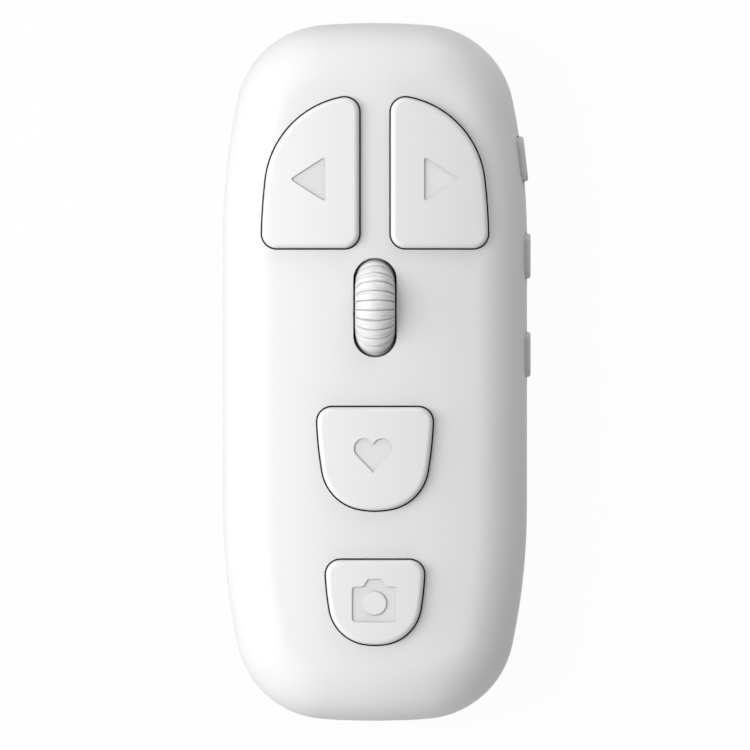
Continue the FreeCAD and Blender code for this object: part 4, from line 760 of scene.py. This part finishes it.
def metal(name, tone, roughness, stretch=0.04, depth=0.002, drift=0.18, spread=0.88):
    """Rolled or plated metal: one tone, drifting darker, under fine lines."""
    other = tuple(value * spread for value in tone)
    return material(name, tone, other, METAL_PATCH, roughness, drift, BRUSHED,
                    {"Scale": 3000.0, "Stretch": stretch}, depth, metal=1.0)


def grey(tone):
    return (tone, tone, tone)


WHITE = grey(0.84)
BOUNCE = 0.2  # share of the light that the pale pieces hand on to each other
RING_LINES = {"Scale": 26.0, "Stretch": 14.0}
KEY_FINISH = {"roughness": 0.44, "grain_scale": 6500.0, "depth": 0.002, "bounce": BOUNCE}
ICON_FINISH = {"roughness": 0.60, "grain_scale": 3800.0, "bounce": BOUNCE}
LAMINATE = {"roughness": 0.32, "grain_scale": 900.0, "depth": 0.01, "spread": 0.6}

MATERIALS = {
    "case_white": plastic("case_white", WHITE, 0.50, bounce=BOUNCE),
    "key_white": plastic("key_white", WHITE, **KEY_FINISH),
    "tyre_white": material("tyre_white", WHITE, grey(0.82), PLASTIC_PATCH, 0.38, 0.08, RINGS, RING_LINES,
                           0.09, specular=0.4, bounce=BOUNCE, dimmers=[(RINGS, RING_LINES)]),
    "hub_white": plastic("hub_white", (0.78, 0.78, 0.77), 0.42),
    "switch_black": plastic("switch_black", (0.018, 0.018, 0.02), 0.55, spread=0.7),
    "plunger_grey": plastic("plunger_grey", (0.32, 0.32, 0.33), 0.45, spread=0.9),
    "steel_sheet": metal("steel_sheet", (0.66, 0.66, 0.67), 0.28),
    "board_green": plastic("board_green", (0.012, 0.105, 0.045), **LAMINATE),
    "module_blue": plastic("module_blue", (0.01, 0.04, 0.16), **LAMINATE),
    "cell_foil": metal("cell_foil", (0.60, 0.61, 0.63), 0.34, stretch=0.6, depth=0.02),
    "foam_grey": plastic("foam_grey", (0.10, 0.10, 0.105), 0.9, grain_scale=1400.0, depth=0.12, spread=0.6),
    "lead_red": plastic("lead_red", (0.50, 0.012, 0.012), 0.38, spread=0.85),
    "lead_black": plastic("lead_black", (0.012, 0.012, 0.013), 0.38, spread=0.7),
    "chip_black": plastic("chip_black", (0.02, 0.02, 0.022), 0.5, spread=0.75),
    "passive_tan": plastic("passive_tan", (0.34, 0.22, 0.12), 0.45, spread=0.8),
    "tongue_black": plastic("tongue_black", (0.016, 0.016, 0.017), 0.42, spread=0.75),
    "gold_pin": metal("gold_pin", (0.83, 0.62, 0.28), 0.25),
    "screw_zinc": metal("screw_zinc", (0.55, 0.56, 0.58), 0.3, stretch=1.0),
}
# Front keys: their sides below the front face are darkened by painted shade, so the gaps round them look
# dark.
FRONT_KEY = plastic("front_key_white", WHITE, dimmers=[(GAP_SHADE, {"Left": 0.05})], **KEY_FINISH)
# Side keys: a greyer tone than the body, as painted shade of the shaded flank they stand on.
SIDE_KEY_SHADED = plastic("side_key_painted_shade", grey(0.64), **KEY_FINISH)
# Painted shade: near-black surface for the walls and ledges in the gaps of the shell.
GAP_PAINTED_SHADE = plastic("gap_wall_painted_shade", grey(0.06), 0.62, spread=0.8)
ICON_FLOOR = plastic("icon_floor", grey(0.80), depth=0.006, **ICON_FINISH)
# Icon walls: darker than the key, as painted shade in the recess.
ICON_WALL_SHADED = plastic("icon_wall_painted_shade", grey(0.66), depth=0.003, **ICON_FINISH)


# Dress the frame

for node, piece in frame["nodes"].items():
    finish = MATERIALS[SLOT_OF[node]]
    if piece.material_slots:
        piece.material_slots[0].material = finish
    else:
        piece.data.materials.append(finish)

case_form = (CASE_PLAN, crown(0.0), TOP_ROUND)
back_form = (CASE_PLAN, flat_back, BASE_ROUND)
floor_form = (None, icon_floor, 0.0)

front_skin = smooth_rounds(gap_walls_painted_shade("front_shell", "front_shell_skin", case_form), [case_form])
back_skin = smooth_rounds(merged_copy("back_shell", "back_shell_skin"), [back_form])
new_piece("front_shell_skin", front_skin, "front_shell", MATERIALS["case_white"], GAP_PAINTED_SHADE)
new_piece("back_shell_skin", back_skin, "back_shell", MATERIALS["case_white"])

for key, cutter in icon_cutters().items():
    blank = merged_copy(key + "_cap", key + "_cap_engraved")
    engraved = cut_away(blank, cutter)
    engraved.name = key + "_cap_engraved"
    key_form = (KEY_PLANS[key], crown(KEY_RISE), KEY_EDGE)
    new_piece(key + "_cap_engraved", smooth_rounds(engraved, [key_form, floor_form]), key + "_cap",
              FRONT_KEY, ICON_FLOOR, ICON_WALL_SHADED)

new_piece("wheel_tyre_ribbed", tyre_mesh(), "wheel_tyre", MATERIALS["tyre_white"])

SIDE_KEYS = ["power_key_cap", "volume_up_key_cap", "volume_down_key_cap"]
ROUND_NODES = SIDE_KEYS + ["shell_screws", "usb_receptacle", "usb_tongue", "wheel_hub", "battery_lead_red",
                           "battery_lead_black", "battery_pack"]
for node in ROUND_NODES:
    smooth = smooth_rounds(merged_copy(node, node + "_smooth"))
    finish = SIDE_KEY_SHADED if node in SIDE_KEYS else MATERIALS[SLOT_OF[node]]
    new_piece(node + "_smooth", smooth, node, finish)


# Stage: pale floor, soft light from the left, camera straight above

FILL = 0.312  # strength of the light from all round
LAMP_DISTANCE = 0.6
# Direction towards each lamp, its size in metres and its power in watts
LAMPS = {
    "low_light": ((-0.935, 0.03, 0.355), 0.28, 1.25),
    "top_light": ((-0.71, 0.0, 0.704), 0.36, 2.25),
    "far_light": ((0.38, 1.0, 0.22), 0.40, 1.6),
    "near_light": ((0.2, -1.0, 0.22), 0.40, 0.8),
}
FLOOR_HALF, FLOOR_GAP = 4.0, 0.05  # half its width in metres, and its distance below the part
FLOOR_PLAIN = 0.965  # share of plain white in the floor; the rest shows the shadow
FLOOR_SEEN, FLOOR_HANDED = 0.85, 0.12  # its tones for the camera and for the light that it hands on
UNDER_REACH, UNDER_LIFT = 2.0, 0.6  # reach and strength of its light on what rests on it
FRAME_WIDTH = 96.7
LENS_MM, SENSOR_MM = 1400.0, 36.0
OUTLINE_HEIGHT = 8.0  # height of the outline above the floor, where the frame's width is measured
CENTRE_Y = -0.39
NEAREST = 0.01  # metres before the lens that the camera leaves out


def seen_white(tree, strength=1.0):
    """Share of plain white for what the camera sees directly or through gloss and glass."""
    path = add(tree, "ShaderNodeLightPath")
    some = add(tree, "ShaderNodeMath", operation="MAXIMUM")
    any_ray = add(tree, "ShaderNodeMath", operation="MAXIMUM")
    share = add(tree, "ShaderNodeMath", operation="MULTIPLY")
    share.inputs[1].default_value = strength
    tree.links.new(path.outputs["Is Camera Ray"], some.inputs[0])
    tree.links.new(path.outputs["Is Glossy Ray"], some.inputs[1])
    tree.links.new(some.outputs[0], any_ray.inputs[0])
    tree.links.new(path.outputs["Is Transmission Ray"], any_ray.inputs[1])
    tree.links.new(any_ray.outputs[0], share.inputs[0])
    return share.outputs[0]


def pale_floor():
    """White floor that keeps a trace of shadow, is clear from below and lights what rests on it."""
    made = bpy.data.materials.new("floor_white")
    made.use_nodes = True
    tree = made.node_tree
    tree.nodes.clear()
    matt = add(tree, "ShaderNodeBsdfDiffuse")
    path = add(tree, "ShaderNodeLightPath")
    tone = add(tree, "ShaderNodeMix", {"A": (*grey(FLOOR_HANDED), 1), "B": (*grey(FLOOR_SEEN), 1)},
               data_type="RGBA")
    glow = add(tree, "ShaderNodeEmission", {"Color": (1, 1, 1, 1), "Strength": 1.0})
    clear = add(tree, "ShaderNodeBsdfTransparent")
    close = add(tree, "ShaderNodeMath", operation="LESS_THAN")
    close.inputs[1].default_value = UNDER_REACH * MM
    under = add(tree, "ShaderNodeMath", operation="MULTIPLY")
    lift = add(tree, "ShaderNodeEmission", {"Color": (1, 1, 1, 1), "Strength": UNDER_LIFT})
    resting = add(tree, "ShaderNodeMixShader")
    seen = add(tree, "ShaderNodeMixShader")
    below = add(tree, "ShaderNodeMixShader")
    side = add(tree, "ShaderNodeNewGeometry")
    leave = add(tree, "ShaderNodeOutputMaterial")
    link = tree.links.new
    link(path.outputs["Is Camera Ray"], tone.inputs["Factor"])
    link(tone.outputs["Result"], matt.inputs["Color"])
    link(path.outputs["Ray Length"], close.inputs[0])
    link(close.outputs[0], under.inputs[0])
    link(path.outputs["Is Diffuse Ray"], under.inputs[1])
    link(under.outputs[0], resting.inputs[0])
    link(matt.outputs[0], resting.inputs[1])
    link(lift.outputs[0], resting.inputs[2])
    link(seen_white(tree, FLOOR_PLAIN), seen.inputs[0])
    link(resting.outputs[0], seen.inputs[1])
    link(glow.outputs[0], seen.inputs[2])
    link(side.outputs["Backfacing"], below.inputs[0])
    link(seen.outputs[0], below.inputs[1])
    link(clear.outputs[0], below.inputs[2])
    link(below.outputs[0], leave.inputs["Surface"])
    shape = bmesh.new()
    bmesh.ops.create_grid(shape, x_segments=1, y_segments=1, size=FLOOR_HALF)
    mesh = bpy.data.meshes.new("floor")
    shape.to_mesh(mesh)
    shape.free()
    mesh.materials.append(made)
    floor = bpy.data.objects.new("floor", mesh)
    floor.location.z = cad_low.z - FLOOR_GAP * MM
    bpy.context.scene.collection.objects.link(floor)


def soft_light(name, toward, size, power):
    """Square lamp that looks at the object from a direction."""
    lamp = bpy.data.lights.new(name, "AREA")
    lamp.shape = "SQUARE"
    lamp.size = size
    lamp.energy = power
    holder = bpy.data.objects.new(name, lamp)
    course = Vector(toward).normalized()
    holder.location = course * LAMP_DISTANCE
    holder.rotation_mode = "QUATERNION"
    holder.rotation_quaternion = course.to_track_quat("Z", "Y")
    bpy.context.scene.collection.objects.link(holder)


def studio_world():
    """Even light from all round; white where it is seen."""
    world = bpy.data.worlds.new("studio")
    world.use_nodes = True
    tree = world.node_tree
    tree.nodes.clear()
    dim = add(tree, "ShaderNodeBackground", {"Color": (1, 1, 1, 1), "Strength": FILL})
    bright = add(tree, "ShaderNodeBackground", {"Color": (1, 1, 1, 1), "Strength": 1.0})
    seen = add(tree, "ShaderNodeMixShader")
    leave = add(tree, "ShaderNodeOutputWorld")
    tree.links.new(seen_white(tree), seen.inputs[0])
    tree.links.new(dim.outputs[0], seen.inputs[1])
    tree.links.new(bright.outputs[0], seen.inputs[2])
    tree.links.new(seen.outputs[0], leave.inputs["Surface"])
    bpy.context.scene.world = world


def camera_above():
    """Camera over the middle of the case, with the arrow keys at the top of the picture."""
    lens_data = bpy.data.cameras.new("camera")
    lens_data.lens = LENS_MM
    lens_data.sensor_width = SENSOR_MM
    lens_data.clip_start = NEAREST
    holder = bpy.data.objects.new("camera", lens_data)
    height = OUTLINE_HEIGHT + FRAME_WIDTH * LENS_MM / SENSOR_MM
    holder.location = Vector((0, CENTRE_Y, height)) * MM
    bpy.context.scene.collection.objects.link(holder)
    bpy.context.scene.camera = holder


pale_floor()
studio_world()
for name, (toward, size, power) in LAMPS.items():
    soft_light(name, toward, size, power)
camera_above()
bpy.context.scene.view_settings.view_transform = "Standard"
